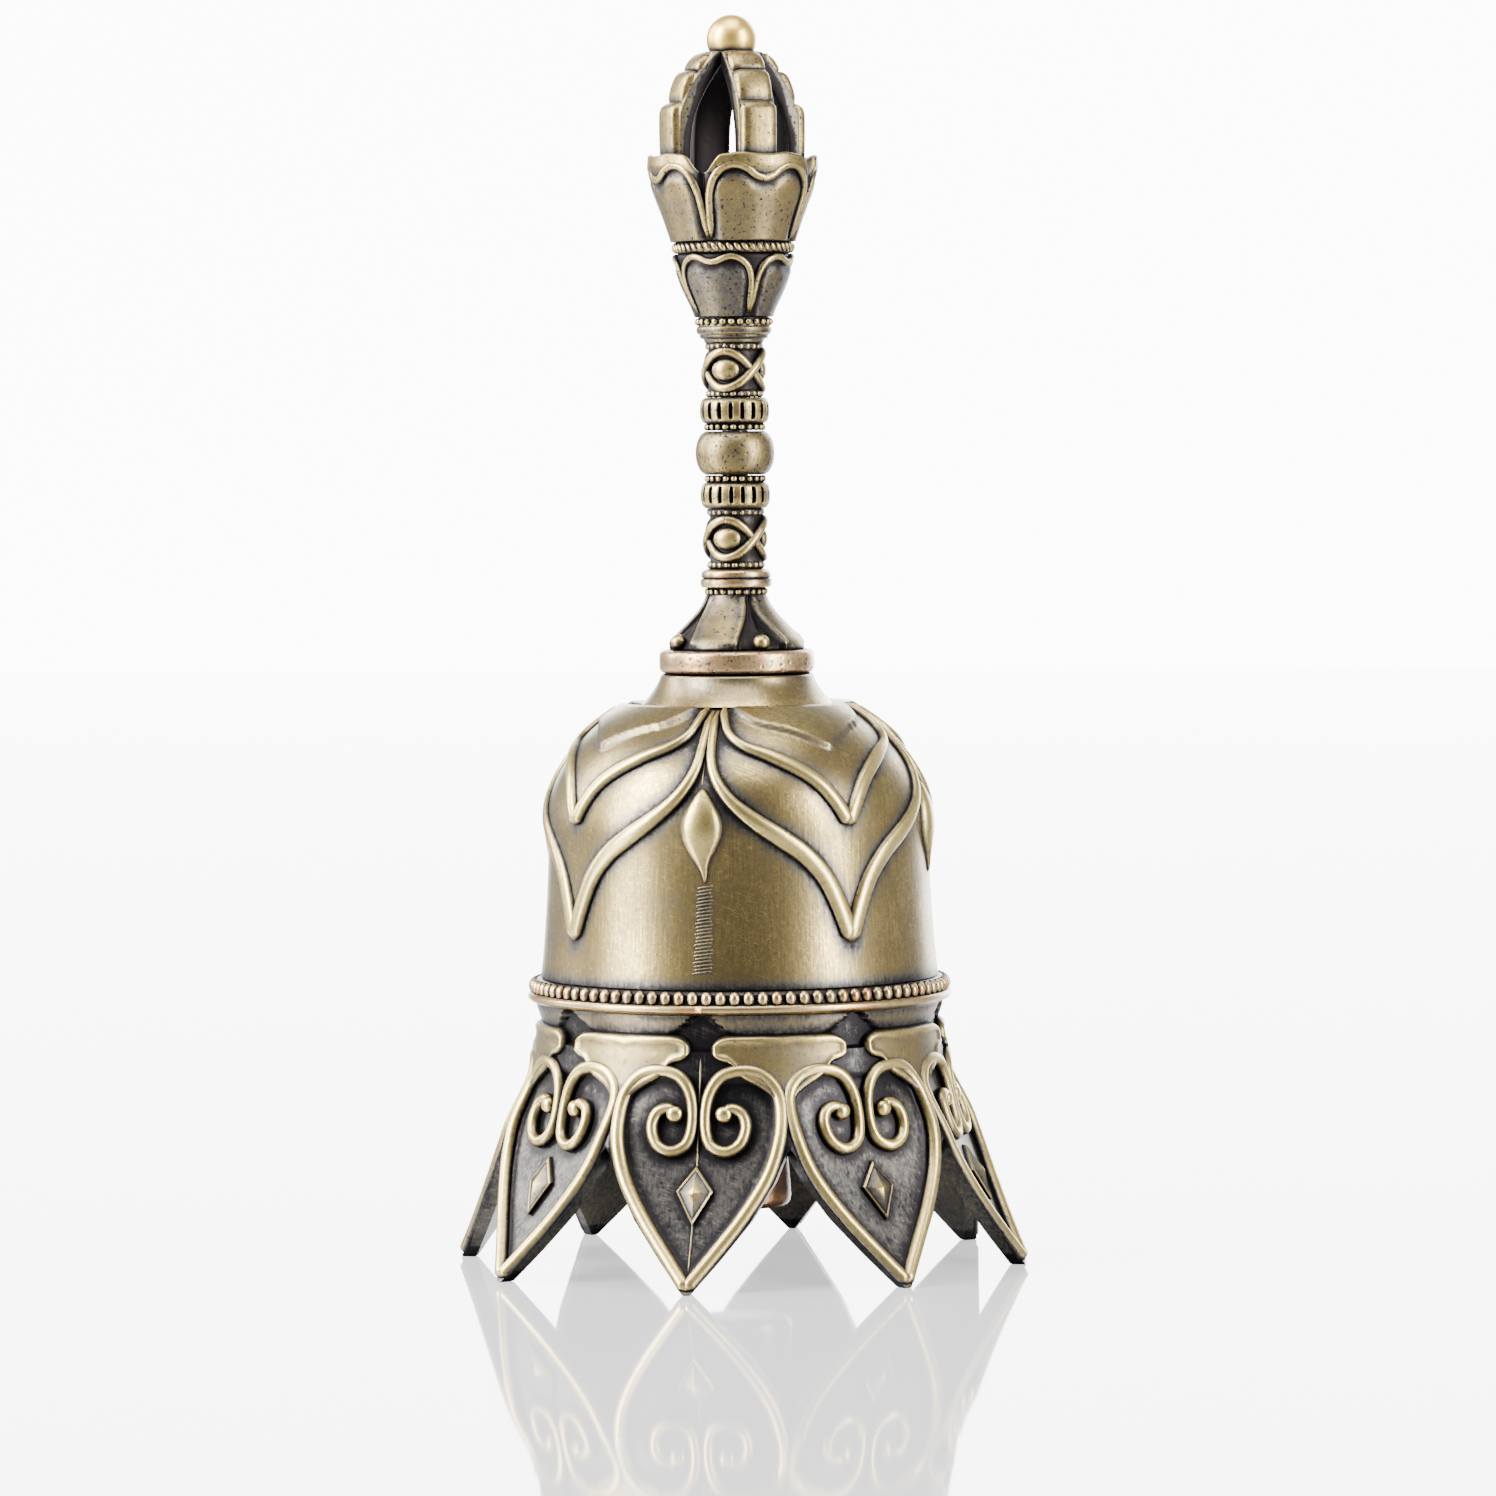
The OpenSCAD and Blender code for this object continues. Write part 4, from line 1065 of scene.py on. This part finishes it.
# ---- Finial ball ----
# A plain round ball of yellower, polished brass, brazed on where the four prongs meet. It is the
# brightest spot of the handle.
yellow_brass = aged_metal("polished brass", (0.03, 0.022, 0.012), (0.46, 0.3, 0.075), (0.9, 0.62, 0.15),
                          rough=(0.45, 0.34), brush=0.08, lie=(1, 1, 0.3))
finial = ball((0, 0, 117.57), (2.4, 2.4, 2.4), 0.9, 48, 32)
handle_piece("finial", [finial], "finial_ball", yellow_brass)


# ---- Rod, nut and hanging parts ----
# Steel inside the bell: the rod that draws the whole handle down on to the crown, its washer and
# nut, an eye below them, a loose ring and the clapper's shank. Dull grey with a little rust.
steel = bpy.data.materials.new("old steel")
steel.use_nodes = True
tree = steel.node_tree
shader = tree.nodes["Principled BSDF"]
place = node(tree, "ShaderNodeTexCoord").outputs["Object"]
stain, drawn = noise(tree, place, 420.0, 5.0), noise(tree, place, 3000.0, 2.0)
ramp = node(tree, "ShaderNodeValToRGB", {"Fac": stain})
stops = ramp.color_ramp.elements
stops[0].position, stops[0].color = 0.38, (0.34, 0.33, 0.31, 1)
stops[1].position, stops[1].color = 0.68, (0.16, 0.085, 0.045, 1)
bump = node(tree, "ShaderNodeBump", {"Height": drawn, "Strength": 0.4, "Distance": 0.04 * MM})
tree.links.new(ramp.outputs[0], shader.inputs["Base Color"])
tree.links.new(remap(tree, stain, 0.4, 0.65, 0.35, 0.75), shader.inputs["Roughness"])
tree.links.new(bump.outputs[0], shader.inputs["Normal"])
shader.inputs["Metallic"].default_value = 1.0
for name in ("tie_rod", "crown_washer", "crown_nut", "hanger_eye", "hanger_ring", "clapper_shank"):
    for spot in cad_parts[name].material_slots:
        spot.material = steel


# ---- Clapper ----
# A heavy turned plug of brown, bare copper alloy, screwed on the shank. It has a rounded foot and a
# line cut round it.
clapper_metal = aged_metal("brown copper", (0.03, 0.016, 0.01), (0.15, 0.075, 0.04), (0.42, 0.24, 0.13),
                           brush=0.3, lie=(0.2, 0.2, 1), grain=0.4)
weight = [(0.3, 5.3), (3.6, 5.32), (4.4, 5.5), (4.72, 5.9), (4.78, 6.6), (4.66, 8.4), (4.5, 10.3),
          (4.3, 10.4), (4.28, 10.6), (4.42, 10.75), (4.1, 14.0), (3.65, 18.0), (3.45, 19.8),
          (3.1, 20.6), (2.3, 20.95), (0.9, 21.0)]
levels, cols = 64, 96
a = np.linspace(0, 2 * math.pi, cols, endpoint=False)
fine = through(weight, levels)
fine[0, 0], fine[-1, 0] = 0.3, 0.85                     # the rows that the end faces close
points = np.concatenate([spin(r, a, z) for r, z in fine])
faces = grid_faces(levels, cols, ring=True)
faces += [tuple(range(cols)), tuple(range((levels - 1) * cols, levels * cols))[::-1]]
worn = np.interp(points[:, 2], [5.2, 5.9, 7, 10.3, 10.6, 20, 21], [0.5, 0.9, 0.55, 0.5, 0.1, 0.6, 0.4])
plug = piece("clapper_plug", [(points, faces, worn)], clapper_metal, 60)
hand_over(plug, "clapper", "clapper_copper", "clapper_weight")
